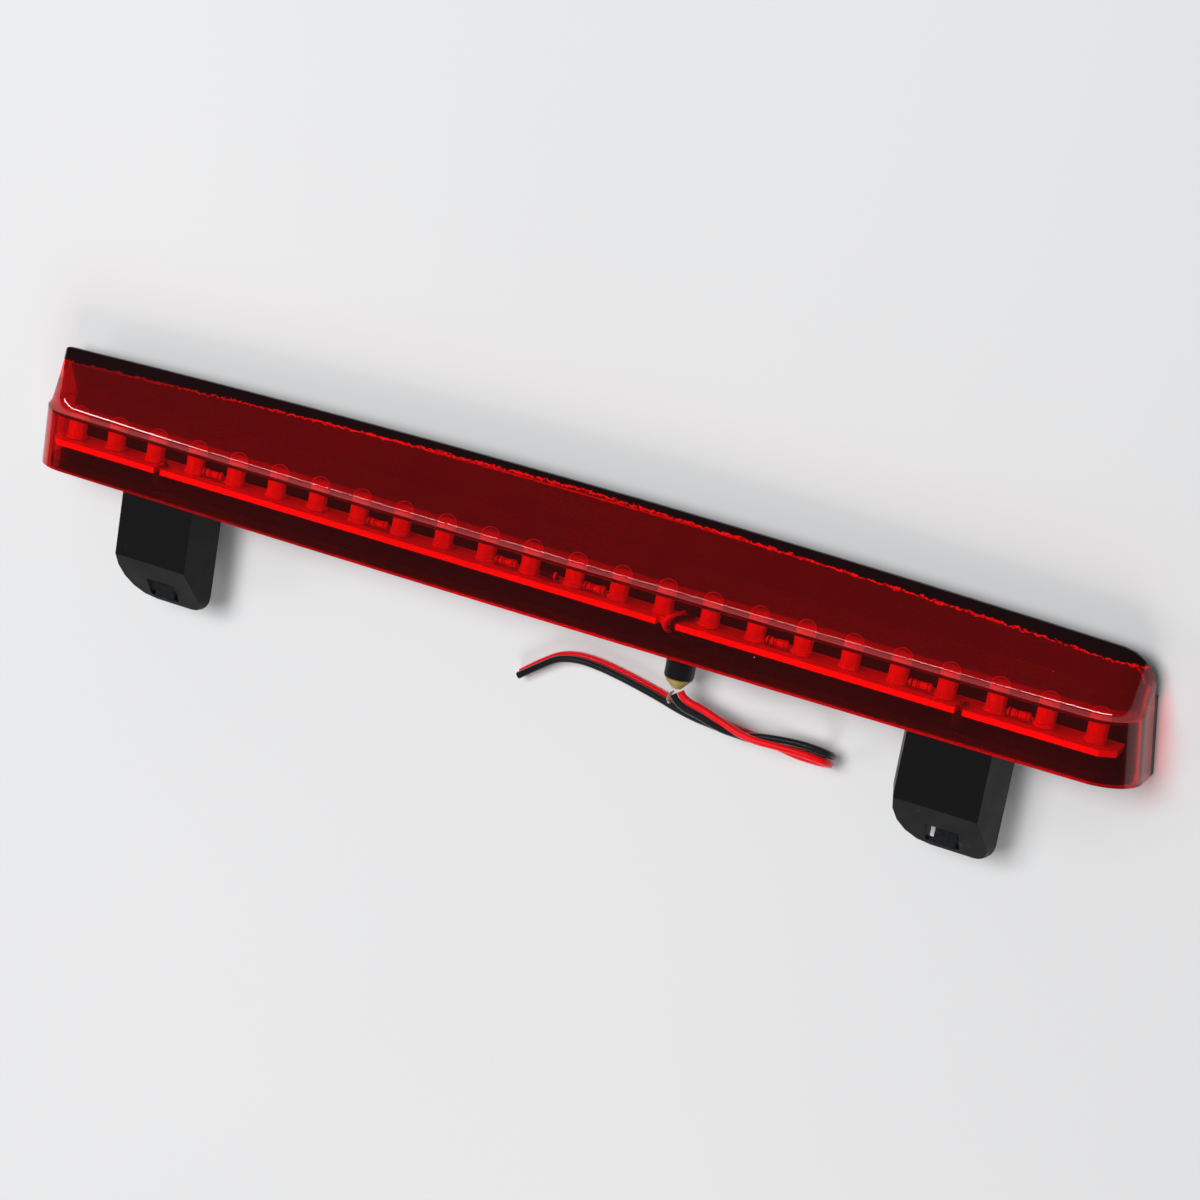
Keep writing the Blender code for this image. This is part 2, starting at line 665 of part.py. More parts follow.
def make_leg(side, finish):
    x = LEG_X[side]
    leg = add_object(f"{side}_leg", leg_mesh(x), finish)
    reach = 20.0 * MM
    past = LEG_FRONT_Z + 5 * MM
    slope = ((LEG_PARTING_Y, LEG_FRONT_Z), (LEG_PARTING_Y, past), (LEG_PARTING_Y - reach, past),
             (LEG_PARTING_Y - reach, LEG_FRONT_Z - TOE_SLOPE * reach))
    cut(leg, prism("toe_cut", slope, 0, x - reach, x + reach))
    middle = x + WINDOW_X
    cut(leg, box_mesh("window", (middle - WINDOW_HALF, WINDOW_TOP_Y - WINDOW_HEIGHT, LEG_BACK_Z - 1 * MM),
                      (middle + WINDOW_HALF, WINDOW_TOP_Y, LEG_FRONT_Z + 1 * MM)))
    cut(leg, rod("bore", (SCREW_X[side], SCREW_Z), BORE_RADIUS, -10.0 * MM, 2 * MM, 10))
    smooth(leg, 30)


def make_leg_nut(side, finish):
    """The square nut that the leg's window holds."""
    x = LEG_X[side] + WINDOW_X + 0.8 * MM
    low = WINDOW_TOP_Y - WINDOW_HEIGHT + GAP
    back = LEG_BACK_Z + NUT_SETBACK
    body = box_mesh("nut", (x - NUT_HALF, low, back), (x + NUT_HALF, low + NUT_HEIGHT, back + NUT_DEPTH))
    nut = add_object(f"{side}_leg_nut", body, finish)
    cut(nut, rod("thread", (x, back + NUT_DEPTH / 2), NUT_BORE, low - 1 * MM, low + NUT_HEIGHT + 1 * MM, 12))


# ---- cable exit --------------------------------------------------------------------------------------

def make_grommet(finish):
    top = LENS_FOOT_Y + FLOOR_WALL + GAP
    profile = ((GROMMET_BORE, GROMMET_END_Y), (GROMMET_RADIUS, GROMMET_END_Y), (GROMMET_RADIUS, top),
               (GROMMET_FLANGE, top), (GROMMET_FLANGE, top + 0.8 * MM), (GROMMET_BORE, top + 0.8 * MM),
               (GROMMET_BORE, GROMMET_END_Y))
    grommet = add_object("cable_grommet", turned("cable_grommet", profile, (EXIT_X, EXIT_Z), 16), finish)
    smooth(grommet, 40)


def make_seal(finish):
    start = GROMMET_END_Y - GAP
    profile = ((0, SEAL_END_Y), (SEAL_TIP_RADIUS, SEAL_END_Y), (2.6 * MM, SEAL_END_Y + 1.2 * MM),
               (3.55 * MM, SEAL_END_Y + 2.1 * MM), (3.7 * MM, start), (0, start))
    seal = add_object("cable_seal", turned("cable_seal", profile, (EXIT_X, EXIT_Z), 16), finish)
    smooth(seal, 40)


# ---- placing -----------------------------------------------------------------------------------------

def centre_all():
    """Shift every piece, so that the origin is under the middle of the lamp."""
    middle_x = (END_LOW["right"] - END_LOW["left"]) / 2
    middle_y = (LENS_TOP_Y + LEG_TOE_Y) / 2
    shift = Matrix.Translation((-middle_x, -middle_y, 0.0))
    for thing in PARTS.objects:
        thing.data.transform(shift)


# ---- assembly ----------------------------------------------------------------------------------------

def make_all():
    black_plastic = material("black_abs", (0.018, 0.018, 0.02), 0.42)
    make_lens(material("red_acrylic", (0.42, 0.0, 0.006), 0.06, alpha=0.45))
    make_housing(black_plastic)
    make_cement(material("lens_cement", (0.5, 0.01, 0.012), 0.3))
    make_board(material("board_laminate", (0.55, 0.5, 0.4), 0.5))
    make_leds(material("led_epoxy", (0.75, 0.02, 0.02), 0.1))
    make_axial_parts(material("resistor_lacquer", (0.6, 0.45, 0.28), 0.4),
                     material("diode_epoxy", (0.02, 0.02, 0.02), 0.3))
    steel = material("zinc_steel", (0.6, 0.6, 0.62), 0.3, 1.0)
    black_steel = material("black_steel", (0.03, 0.03, 0.03), 0.5, 0.6)
    for side in ("left", "right"):
        make_leg(side, black_plastic)
        make_screw(side, steel)
        make_leg_nut(side, black_steel)
    rubber = material("black_rubber", (0.012, 0.012, 0.015), 0.6)
    make_grommet(rubber)
    make_seal(material("hot_melt", (0.35, 0.24, 0.1), 0.45))
    red_sheath = material("red_sheath", (0.75, 0.01, 0.02), 0.3)
    black_sheath = material("black_sheath", (0.012, 0.012, 0.014), 0.3)
    make_inner_wires(red_sheath, black_sheath, material("tinned_copper", (0.7, 0.68, 0.65), 0.35, 1.0))
    make_lead(red_sheath, black_sheath)
    centre_all()


make_all()
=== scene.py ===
"""Third brake light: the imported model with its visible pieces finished, on a pale floor in soft light."""

import math
import random

import bmesh
import bpy
from mathutils import Matrix, Vector, noise


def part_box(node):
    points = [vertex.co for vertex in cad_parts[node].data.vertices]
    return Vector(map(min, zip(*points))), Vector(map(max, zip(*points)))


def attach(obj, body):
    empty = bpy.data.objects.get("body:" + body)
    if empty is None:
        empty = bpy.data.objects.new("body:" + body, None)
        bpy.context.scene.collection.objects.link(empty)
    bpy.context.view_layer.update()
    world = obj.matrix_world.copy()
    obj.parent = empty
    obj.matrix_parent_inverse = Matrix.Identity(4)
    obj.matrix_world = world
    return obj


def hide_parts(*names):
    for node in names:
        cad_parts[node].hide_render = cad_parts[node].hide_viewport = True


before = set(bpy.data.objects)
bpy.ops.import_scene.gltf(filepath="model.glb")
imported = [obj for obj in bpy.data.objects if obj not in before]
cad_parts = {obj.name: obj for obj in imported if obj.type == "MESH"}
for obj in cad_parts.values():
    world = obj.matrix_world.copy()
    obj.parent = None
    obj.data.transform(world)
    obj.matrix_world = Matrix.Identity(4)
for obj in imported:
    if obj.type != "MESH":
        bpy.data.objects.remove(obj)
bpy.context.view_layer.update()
MM = 0.001

# The lamp's own frame, in which its sizes are given, is moved by this much in the row's frame.
LENS_FOOT_Y = -0.85 * MM
END_LOW = {"left": 157.3 * MM, "right": 158.6 * MM}
SHIFT = Vector((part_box("lens")[1][0] - END_LOW["right"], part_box("lens")[0][1] - LENS_FOOT_Y, 0.0))

# Lens.
LENS_WALL = 2.0 * MM
LENS_FRONT_Z = 24.0 * MM
LENS_BOW = 1.7 * MM
LENS_CORNER = 12.0 * MM
END_HIGH = {"left": 157.5 * MM, "right": 155.4 * MM}
END_DRAFT = 20.0 * MM
LEDGE_LOW_Y = 15.25 * MM
LEDGE_HIGH_Y = 16.2 * MM
LEDGE_STEP = 2.2 * MM
LENS_TOP_Y = 33.0 * MM
LENS_TOP_BOW = 3.15 * MM
TOP_CORNER = {"left": 1.0 * MM, "right": 9.0 * MM}
STRAIGHT_STEPS = 48
CORNER_STEPS = 14
LENS_ROUNDING = 0.3 * MM
CUT_REACH = 3.0 * MM
END_DROP = 10.0 * MM
RIM_Z = 2.8 * MM
RIM_KNEE_Y = 18.0 * MM
RIM_SLOPE = 0.48
RIM_NORMAL = Vector((0.0, 0.433, -0.901))

# Cement along the lens's foot: the bead's size and inset, then the cement line painted bright red in the
# lens, a painted highlight where the cement catches the light.
CEMENT_RADIUS = 0.45 * MM
CEMENT_INSET = 3.07 * MM
CEMENT_HIGHLIGHT_WIDTH = 0.55 * MM
CEMENT_HIGHLIGHT_EDGE = 0.15 * MM
CEMENT_HIGHLIGHT_LUMP = 0.9
CEMENT_HIGHLIGHT_FADE = (-150.0 * MM, -60.0 * MM)

# Dark joint along the lens's top edge, and how clear the wall is: 1 is glass, less is milky; the milky bands
# at the lower edge, the ledge and the slope are painted light.
JOINT_WIDTH = 1.2 * MM
JOINT_SPREAD = 2.0 * MM
JOINT_WAVER = 0.35 * MM
JOINT_EDGE = 0.08 * MM
JOINT_LUMP = 1.3
CLEAR_EDGE = 0.8
CLEAR_WINDOW = 0.985
CLEAR_LEDGE = 0.68
CLEAR_SLOPE = 0.935
DUST_SPACING = 5.5

# Height on an LED at which its lit stem passes into the clear dome.
STEM_TOP_Y = 12.2 * MM
DOME_FOOT_Y = 13.6 * MM

# Board and what stands on it.
BOARD_TOP_Y = 7.45 * MM
BOARD_THICK = 1.6 * MM
LED_COUNT = 24
LED_PITCH = 12.7 * MM
LED_Z = 14.5 * MM
LED_RADIUS = 2.5 * MM
LED_FLANGE = 2.9 * MM
LED_HEIGHT = 8.3 * MM
LEAD_SPACING = 2.54 * MM
GAP = 0.3 * MM
RESISTOR_AFTER = (4, 8, 11, 13, 17, 20, 22)
RESISTOR_Z = 15.6 * MM
RESISTOR_LENGTH = 6.0 * MM
RESISTOR_RADIUS = 1.1 * MM

# Cable exit and lead.
EXIT = (37.2 * MM, 10.0 * MM)
SEAL_TOP_Y = -9.5 * MM
SEAL_END_Y = -12.4 * MM
CORE_RADIUS = 0.95 * MM
CORE_SPACING = 2.25 * MM
LEAD_ROUTE = (
    ((37.5, -13.6, 10.0), (1.0, 0.1, 0.0)),
    ((38.1, -14.5, 10.0), (1.0, 0.3, 0.0)),
    ((39.8, -15.7, 9.9), (0.9, 0.5, 0.0)),
    ((42.0, -16.4, 9.8), (0.6, 0.8, 0.1)),
    ((44.6, -16.9, 9.7), (0.4, 0.9, 0.1)),
    ((50.3, -18.6, 9.4), (0.3, 0.9, 0.3)),
    ((56.0, -19.6, 9.2), (0.1, 0.5, 0.9)),
    ((61.5, -19.3, 9.1), (0.0, -0.3, 0.95)),
    ((66.9, -18.8, 9.0), (0.0, -0.6, 0.8)),
    ((72.2, -18.5, 9.0), (0.0, -0.8, 0.6)),
    ((75.6, -18.6, 8.9), (0.0, -0.9, 0.44)),
    ((78.6, -19.2, 7.9), (0.0, -0.9, 0.44)),
    ((79.8, -20.3, 5.4), (0.0, -0.9, 0.44)),
    ((78.6, -21.3, 2.9), (0.0, -0.9, 0.44)),
    ((75.6, -21.9, 1.9), (0.0, -0.95, 0.3)),
    ((70.4, -22.1, 1.6), (0.0, -1.0, 0.0)),
    ((64.8, -22.0, 1.8), (0.0, -0.7, -0.7)),
    ((59.2, -21.9, 2.1), (0.0, 0.1, -1.0)),
    ((53.5, -21.8, 2.1), (0.0, 0.3, -0.95)),
    ((47.8, -21.4, 2.1), (0.0, 0.3, -0.95)),
    ((41.2, -20.8, 2.1), (0.0, 0.3, -0.95)),
    ((36.1, -19.9, 2.1), (0.0, 0.3, -0.95)),
    ((30.1, -18.4, 2.1), (0.0, 0.3, -0.95)),
    ((24.1, -17.1, 2.1), (0.0, 0.3, -0.95)),
    ((18.1, -16.0, 2.1), (0.0, 0.3, -0.95)),
    ((12.1, -15.2, 2.1), (0.0, 0.3, -0.95)),
    ((6.2, -15.1, 2.1), (0.0, 0.3, -0.95)),
    ((0.6, -16.5, 2.1), (0.0, 0.3, -0.95)),
    ((-4.6, -20.0, 2.1), (-0.1, 0.3, -0.95)),
    ((-9.9, -24.2, 2.1), (-0.1, 0.2, -0.97)),
)
INNER_ROUTES = {
    "red": ((36.6, 8.5, 12.6), (36.3, 8.6, 16.0), (35.0, 8.2, 18.4), (34.2, 6.4, 18.8), (34.8, 4.4, 16.8),
            (36.0, 4.2, 12.6), (36.1, 2.6, 10.4), (36.1, 0.0, 10.0), (36.1, -8.0, 10.0)),
    "black": ((39.4, 8.5, 12.6), (39.0, 8.6, 16.0), (37.3, 8.3, 18.4), (36.4, 6.4, 18.8), (37.1, 4.4, 16.8),
              (38.2, 4.2, 12.6), (38.3, 2.6, 10.4), (38.3, 0.0, 10.0), (38.3, -8.0, 10.0)),
}
STRAND_ROUTE = ((36.9, -12.9, 11.5), (36.4, -14.0, 12.2), (36.2, -15.3, 12.1), (36.6, -16.4, 11.6))


# ---- camera ------------------------------------------------------------------------------------------

def place_camera():
    data = bpy.data.cameras.new("camera")
    data.sensor_width = 36.0
    data.lens = 90.0
    data.clip_start = 0.01
    camera = bpy.data.objects.new("camera", data)
    bpy.context.scene.collection.objects.link(camera)
    right = Vector((0.8944, 0.167, -0.415)).normalized()
    back = Vector((0.3584, 0.2878, 0.8881)).normalized()
    up = back.cross(right).normalized()
    right = up.cross(back)
    turn = Matrix((right, up, back)).transposed().to_4x4()
    camera.matrix_world = Matrix.Translation(Vector((0.2882, 0.2260, 0.6940)) + SHIFT) @ turn
    bpy.context.scene.camera = camera


place_camera()


# ---- curves ------------------------------------------------------------------------------------------

def spline_at(points, t):
    """A point on the smooth curve through all the points; t counts points."""
    i = max(0, min(len(points) - 2, int(t)))
    u = t - i
    before, after = points[max(i - 1, 0)], points[min(i + 2, len(points) - 1)]
    one, two = points[i], points[i + 1]
    return 0.5 * (2 * one + (two - before) * u + (2 * before - 5 * one + 4 * two - after) * u ** 2
                  + (3 * one - before - 3 * two + after) * u ** 3)


def smooth_line(points, step):
    """Points about a step apart along the smooth curve, each with its t."""
    fine = [k / 40 for k in range(40 * (len(points) - 1) + 1)]
    places = [spline_at(points, t) for t in fine]
    along = [0.0]
    for one, two in zip(places, places[1:]):
        along.append(along[-1] + (two - one).length)
    count = max(2, round(along[-1] / step))
    found = []
    k = 0
    for n in range(count + 1):
        goal = along[-1] * n / count
        while k < len(along) - 2 and along[k + 1] < goal:
            k += 1
        share = (goal - along[k]) / max(along[k + 1] - along[k], 1e-12)
        t = fine[k] + share * (fine[k + 1] - fine[k])
        found.append((t, spline_at(points, t)))
    return found


def core_line(side, step=1.3 * MM):
    """The middle of one core of the lead: side is +1 for the red one and -1 for the black one."""
    middles = [Vector(place) * MM for place, _ in LEAD_ROUTE]
    aways = [Vector(away).normalized() for _, away in LEAD_ROUTE]
    line = smooth_line(middles, step)
    points = []
    for n, (t, place) in enumerate(line):
        ahead = line[min(n + 1, len(line) - 1)][1] - line[max(n - 1, 0)][1]
        ahead.normalize()
        away = spline_at(aways, t)
        away = (away - ahead * away.dot(ahead)).normalized()
        points.append(place + away * (side * CORE_SPACING / 2))
    return points


def wire(name, lines, radius, finish, resolution=5, swell=None):
    """A round wire along each line, in the lamp's own frame; swell gives each point its own thickness."""
    curve = bpy.data.curves.new(name, "CURVE")
    curve.dimensions = "3D"
    curve.bevel_depth = radius
    curve.bevel_resolution = resolution
    curve.use_fill_caps = True
    for points in lines:
        spline = curve.splines.new("POLY")
        spline.points.add(len(points) - 1)
        for n, (point, place) in enumerate(zip(spline.points, points)):
            point.co = (*(place + SHIFT), 1.0)
            point.radius = swell(n) if swell else 1.0
        spline.use_smooth = True
    thing = bpy.data.objects.new(name, curve)
    bpy.context.scene.collection.objects.link(thing)
    thing.data.materials.append(finish)
    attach(thing, "root")
    return thing


# ---- materials ---------------------------------------------------------------------------------------

def colour(code):
    """An sRGB hex colour as linear RGBA."""
    parts = [int(code[i:i + 2], 16) / 255 for i in (1, 3, 5)]
    return (*[c / 12.92 if c <= 0.04045 else ((c + 0.055) / 1.055) ** 2.4 for c in parts], 1.0)


def node(tree, kind, settings=None, stops=(), **links):
    """Add a node: its own properties, a ramp's (place, colour) stops, and values or outputs for its inputs.

    An input goes by its name, with _ for a space, or by its number, as i0 for the first.
    """
    made = tree.nodes.new("ShaderNode" + kind)
    for key, value in (settings or {}).items():
        setattr(made, key, value)
    if stops:
        elements = made.color_ramp.elements
        while len(elements) < len(stops):
            elements.new(0.5)
        for element, (place, code) in zip(elements, stops):
            element.position = place
            element.color = colour(code) if isinstance(code, str) else (code, code, code, 1.0)
    for key, value in links.items():
        numbered = key[0] == "i" and key[1:].isdigit()
        socket = made.inputs[int(key[1:]) if numbered else key.replace("_", " ")]
        if isinstance(value, bpy.types.NodeSocket):
            tree.links.new(value, socket)
        else:
            socket.default_value = value
    return made


def started(name, **values):
    """A new material with its Principled shader's values set."""
    made = bpy.data.materials.new(name)
    made.use_nodes = True
    shader = made.node_tree.nodes["Principled BSDF"]
    for key, value in values.items():
        shader.inputs[key.replace("_", " ")].default_value = value
    return made, made.node_tree, shader


def per_mm(size):
    """A pattern scale whose features are about this many millimetres apart."""
    return 1000.0 / size


def top_joint(tree, place):
    """Shares of the dark joint along the lens's top edge, and of the cement that has crept past it, which is
    painted bright as a painted highlight.
    """
    split = node(tree, "SeparateXYZ", None, Vector=place)
    share = node(tree, "Math", {"operation": "DIVIDE"}, i0=split.outputs["X"], i1=END_HIGH["left"])
    away = node(tree, "Math", {"operation": "ABSOLUTE"}, i0=share.outputs[0])
    square = node(tree, "Math", {"operation": "POWER"}, i0=away.outputs[0], i1=2.0)
    level = node(tree, "Math", {"operation": "MULTIPLY_ADD"}, i0=square.outputs[0], i1=LENS_TOP_BOW,
                 i2=split.outputs["Y"])
    below = node(tree, "Math", {"operation": "SUBTRACT"}, i0=LENS_TOP_Y + SHIFT.y, i1=level.outputs[0])
    wide = node(tree, "Math", {"operation": "MULTIPLY_ADD"}, i0=away.outputs[0], i1=JOINT_SPREAD,
                i2=JOINT_WIDTH)
    ragged = node(tree, "TexNoise", None, Vector=place, Scale=per_mm(JOINT_LUMP), Detail=4.0)
    edge = node(tree, "MapRange", None, Value=ragged.outputs["Fac"], i1=0.3, i2=0.7, i3=-JOINT_WAVER,
                i4=JOINT_WAVER)
    reach = node(tree, "Math", {"operation": "ADD"}, i0=wide.outputs[0], i1=edge.outputs[0])
    inside = node(tree, "Math", {"operation": "SUBTRACT"}, i0=reach.outputs[0], i1=below.outputs[0])
    dark = node(tree, "MapRange", None, Value=inside.outputs[0], i1=-JOINT_EDGE, i2=JOINT_EDGE, i3=0.0,
                i4=1.0)
    # Past the joint lies the cement line, ragged and weaker towards the left end; it is real cement, painted
    # bright as a painted highlight.
    cement_highlight_reach = node(tree, "Math", {"operation": "ADD"}, i0=reach.outputs[0], i1=CEMENT_HIGHLIGHT_WIDTH)
    into_cement_highlight = node(tree, "Math", {"operation": "SUBTRACT"}, i0=cement_highlight_reach.outputs[0], i1=below.outputs[0])
    cement_highlight_mask = node(tree, "MapRange", None, Value=into_cement_highlight.outputs[0], i1=0.0, i2=CEMENT_HIGHLIGHT_EDGE, i3=0.0, i4=1.0)
    lumpy = node(tree, "TexNoise", None, Vector=place, Scale=per_mm(CEMENT_HIGHLIGHT_LUMP), Detail=3.0)
    strong = node(tree, "MapRange", None, Value=lumpy.outputs["Fac"], i1=0.35, i2=0.55, i3=0.15, i4=1.0)
    fade = node(tree, "MapRange", None, Value=split.outputs["X"], i1=CEMENT_HIGHLIGHT_FADE[0], i2=CEMENT_HIGHLIGHT_FADE[1],
                i3=0.25, i4=1.0)
    line = node(tree, "Math", {"operation": "MULTIPLY"}, i0=cement_highlight_mask.outputs[0], i1=strong.outputs[0])
    line = node(tree, "Math", {"operation": "MULTIPLY"}, i0=line.outputs[0], i1=fade.outputs[0])
    return dark.outputs[0], line.outputs[0]


def wall_clearness(tree, place):
    """Transmission up the wall: a clear window, and milky bands that are painted light: a painted glow along
    the lower edge, a painted highlight on the ledge, and a slope made slightly cloudy to lift its dark red.
    """
    split = node(tree, "SeparateXYZ", None, Vector=place)
    rise = node(tree, "MapRange", None, Value=split.outputs["Y"], i1=LENS_FOOT_Y + SHIFT.y,
                i2=LENS_TOP_Y + SHIFT.y, i3=0.0, i4=1.0)
    stops = ((0.0, CLEAR_EDGE), (0.009, CLEAR_EDGE), (0.013, CLEAR_WINDOW), (0.468, CLEAR_WINDOW),
             (0.478, CLEAR_LEDGE), (0.505, CLEAR_LEDGE), (0.52, CLEAR_SLOPE), (1.0, CLEAR_SLOPE))
    return node(tree, "ValToRGB", None, stops, i0=rise.outputs[0]).outputs["Color"]


def dust_share(tree, place):
    """Specks of dust about 0.2 mm across, sparse enough to count."""
    cell = node(tree, "TexVoronoi", None, Vector=place, Scale=per_mm(DUST_SPACING), Randomness=1.0)
    speck = node(tree, "Math", {"operation": "LESS_THAN"}, i0=cell.outputs["Distance"], i1=0.022)
    pick = node(tree, "SeparateXYZ", None, Vector=cell.outputs["Color"])
    few = node(tree, "Math", {"operation": "GREATER_THAN"}, i0=pick.outputs["X"], i1=0.72)
    return node(tree, "Math", {"operation": "MULTIPLY"}, i0=speck.outputs[0], i1=few.outputs[0]).outputs[0]


def red_acrylic():
    """Polished transparent red acrylic: a deep red window, cloudier above with a milkiness that is painted
    light, with smears and a little dust.
    """
    made, tree, shader = started("red_acrylic", Roughness=0.03, IOR=1.49, Specular_IOR_Level=0.32)
    place = node(tree, "TexCoord").outputs["Object"]
    cloud = node(tree, "TexNoise", None, Vector=place, Scale=per_mm(40), Detail=3.0)
    tint = node(tree, "ValToRGB", None, ((0.3, "#C8000C"), (0.7, "#D60410")), i0=cloud.outputs["Fac"])
    dark, line = top_joint(tree, place)
    # Transmission falls along the cement line and in the milky bands, so these show lamp-lit red: painted
    # light.
    clearness_with_painted_light = node(tree, "MixRGB", None, i0=line, i1=wall_clearness(tree, place), i2=(0.3, 0.3, 0.3, 1.0))
    tree.links.new(clearness_with_painted_light.outputs[0], shader.inputs["Transmission Weight"])
    # Along the cement line the base colour turns bright red: real cement, with its brightness a painted
    # highlight.
    tint_and_cement_highlight = node(tree, "Mix", {"data_type": "RGBA"}, i0=line, i6=tint.outputs["Color"],
                   i7=colour("#FF0C06"))
    tree.links.new(tint_and_cement_highlight.outputs[2], shader.inputs["Base Color"])
    drawn = node(tree, "Mapping", None, Vector=place, Scale=(0.25, 1.0, 1.0))
    smear = node(tree, "TexNoise", None, Vector=drawn.outputs["Vector"], Scale=per_mm(6), Detail=5.0)
    rough = node(tree, "MapRange", None, Value=smear.outputs["Fac"], i1=0.45, i2=0.8, i3=0.01, i4=0.04)
    tree.links.new(rough.outputs[0], shader.inputs["Roughness"])
    grain = node(tree, "TexNoise", None, Vector=place, Scale=per_mm(22), Detail=2.0)
    bump = node(tree, "Bump", None, Strength=0.12, Distance=0.3 * MM, Height=grain.outputs["Fac"])
    tree.links.new(bump.outputs["Normal"], shader.inputs["Normal"])
    pale = node(tree, "BsdfPrincipled", None, Base_Color=colour("#B8A8A4"), Roughness=0.8)
    dusty = node(tree, "MixShader", None, i0=dust_share(tree, place), i1=shader.outputs[0],
                 i2=pale.outputs[0])
    joint = node(tree, "BsdfPrincipled", None, Base_Color=colour("#140204"), Roughness=0.08, IOR=1.49)
    wall = node(tree, "MixShader", None, i0=dark, i1=dusty.outputs[0], i2=joint.outputs[0])
    # Light passes through the wall tinted, so that what is inside is lit as it is through real acrylic.
    ray = node(tree, "LightPath")
    through = node(tree, "BsdfTransparent", None, Color=(0.93, 0.1, 0.09, 1.0))
    whole = node(tree, "MixShader", None, i0=ray.outputs["Is Shadow Ray"], i1=wall.outputs[0],
                 i2=through.outputs[0])
    tree.links.new(whole.outputs[0], tree.nodes["Material Output"].inputs["Surface"])
    return made


def black_abs(name="black_abs", base="#0B0B0C", rough=(0.32, 0.5), sheen=0.35):
    """Moulded black ABS: satin, faintly mottled, with fine pale scuffs."""
    made, tree, shader = started(name, IOR=1.53, Specular_IOR_Level=sheen)
    place = node(tree, "TexCoord").outputs["Object"]
    mottle = node(tree, "TexNoise", None, Vector=place, Scale=per_mm(9), Detail=6.0)
    drawn = node(tree, "Mapping", None, Vector=place, Rotation=(0.0, 0.0, 0.5), Scale=(1.0, 0.12, 1.0))
    scuff = node(tree, "TexNoise", None, Vector=drawn.outputs["Vector"], Scale=per_mm(1.4), Detail=8.0)
    line = node(tree, "ValToRGB", None, ((0.66, 0.0), (0.72, 1.0)), i0=scuff.outputs["Fac"]).outputs["Color"]
    tone = node(tree, "ValToRGB", None, ((0.35, base), (0.75, "#131314")), i0=mottle.outputs["Fac"])
    faint = node(tree, "Math", {"operation": "MULTIPLY"}, i0=line, i1=0.12)
    mixed = node(tree, "Mix", {"data_type": "RGBA"}, i0=faint.outputs[0], i6=tone.outputs["Color"],
                 i7=colour("#6A6A6C"))
    tree.links.new(mixed.outputs[2], shader.inputs["Base Color"])
    gloss = node(tree, "MapRange", None, Value=mottle.outputs["Fac"], i1=0.3, i2=0.8, i3=rough[0],
                 i4=rough[1])
    tree.links.new(gloss.outputs[0], shader.inputs["Roughness"])
    fine = node(tree, "TexNoise", None, Vector=place, Scale=per_mm(0.35), Detail=3.0)
    bump = node(tree, "Bump", None, Strength=0.25, Distance=0.02 * MM, Height=fine.outputs["Fac"])
    tree.links.new(bump.outputs["Normal"], shader.inputs["Normal"])
    return made


def plain(name, low, high, size, rough, grain=0.4, depth=0.02, **values):
    """A finish whose tone wanders between two colours, with a fine grain in its surface."""
    made, tree, shader = started(name, **values)
    place = node(tree, "TexCoord").outputs["Object"]
    cloud = node(tree, "TexNoise", None, Vector=place, Scale=per_mm(size), Detail=5.0)
    tone = node(tree, "ValToRGB", None, ((0.32, low), (0.68, high)), i0=cloud.outputs["Fac"])
    tree.links.new(tone.outputs["Color"], shader.inputs["Base Color"])
    gloss = node(tree, "MapRange", None, Value=cloud.outputs["Fac"], i1=0.3, i2=0.7, i3=rough[0], i4=rough[1])
    tree.links.new(gloss.outputs[0], shader.inputs["Roughness"])
    fine = node(tree, "TexNoise", None, Vector=place, Scale=per_mm(grain), Detail=3.0)
    bump = node(tree, "Bump", None, Strength=0.3, Distance=depth * MM, Height=fine.outputs["Fac"])
    tree.links.new(bump.outputs["Normal"], shader.inputs["Normal"])
    return made


def led_epoxy():
    """Clear red epoxy: a lit stem under a dome that is clear face on and bright at its rim."""
    made, tree, shader = started("led_epoxy", Roughness=0.12, IOR=1.55)
    place = node(tree, "TexCoord").outputs["Object"]
    cloud = node(tree, "TexNoise", None, Vector=place, Scale=per_mm(2.5), Detail=3.0)
    tone = node(tree, "ValToRGB", None, ((0.3, "#F01410"), (0.7, "#FF3020")), i0=cloud.outputs["Fac"])
    tree.links.new(tone.outputs["Color"], shader.inputs["Base Color"])
    rim = node(tree, "LayerWeight", None, Blend=0.5)
    open_face = node(tree, "BsdfTransparent", None, Color=(0.95, 0.3, 0.26, 1.0))
    dome = node(tree, "ValToRGB", None, ((0.0, 0.04), (0.5, 0.08), (0.74, 1.0)), i0=rim.outputs["Facing"])
    stem = node(tree, "ValToRGB", None, ((0.0, 0.5), (0.5, 0.62), (0.8, 1.0)), i0=rim.outputs["Facing"])
    split = node(tree, "SeparateXYZ", None, Vector=place)
    low = node(tree, "MapRange", None, Value=split.outputs["Y"], i1=STEM_TOP_Y, i2=DOME_FOOT_Y, i3=0.0,
               i4=1.0)
    body = node(tree, "MixRGB", None, i0=low.outputs[0], i1=stem.outputs[0], i2=dome.outputs[0])
    mixed = node(tree, "MixShader", None, i0=body.outputs[0], i1=open_face.outputs[0], i2=shader.outputs[0])
    tree.links.new(mixed.outputs[0], tree.nodes["Material Output"].inputs["Surface"])
    return made


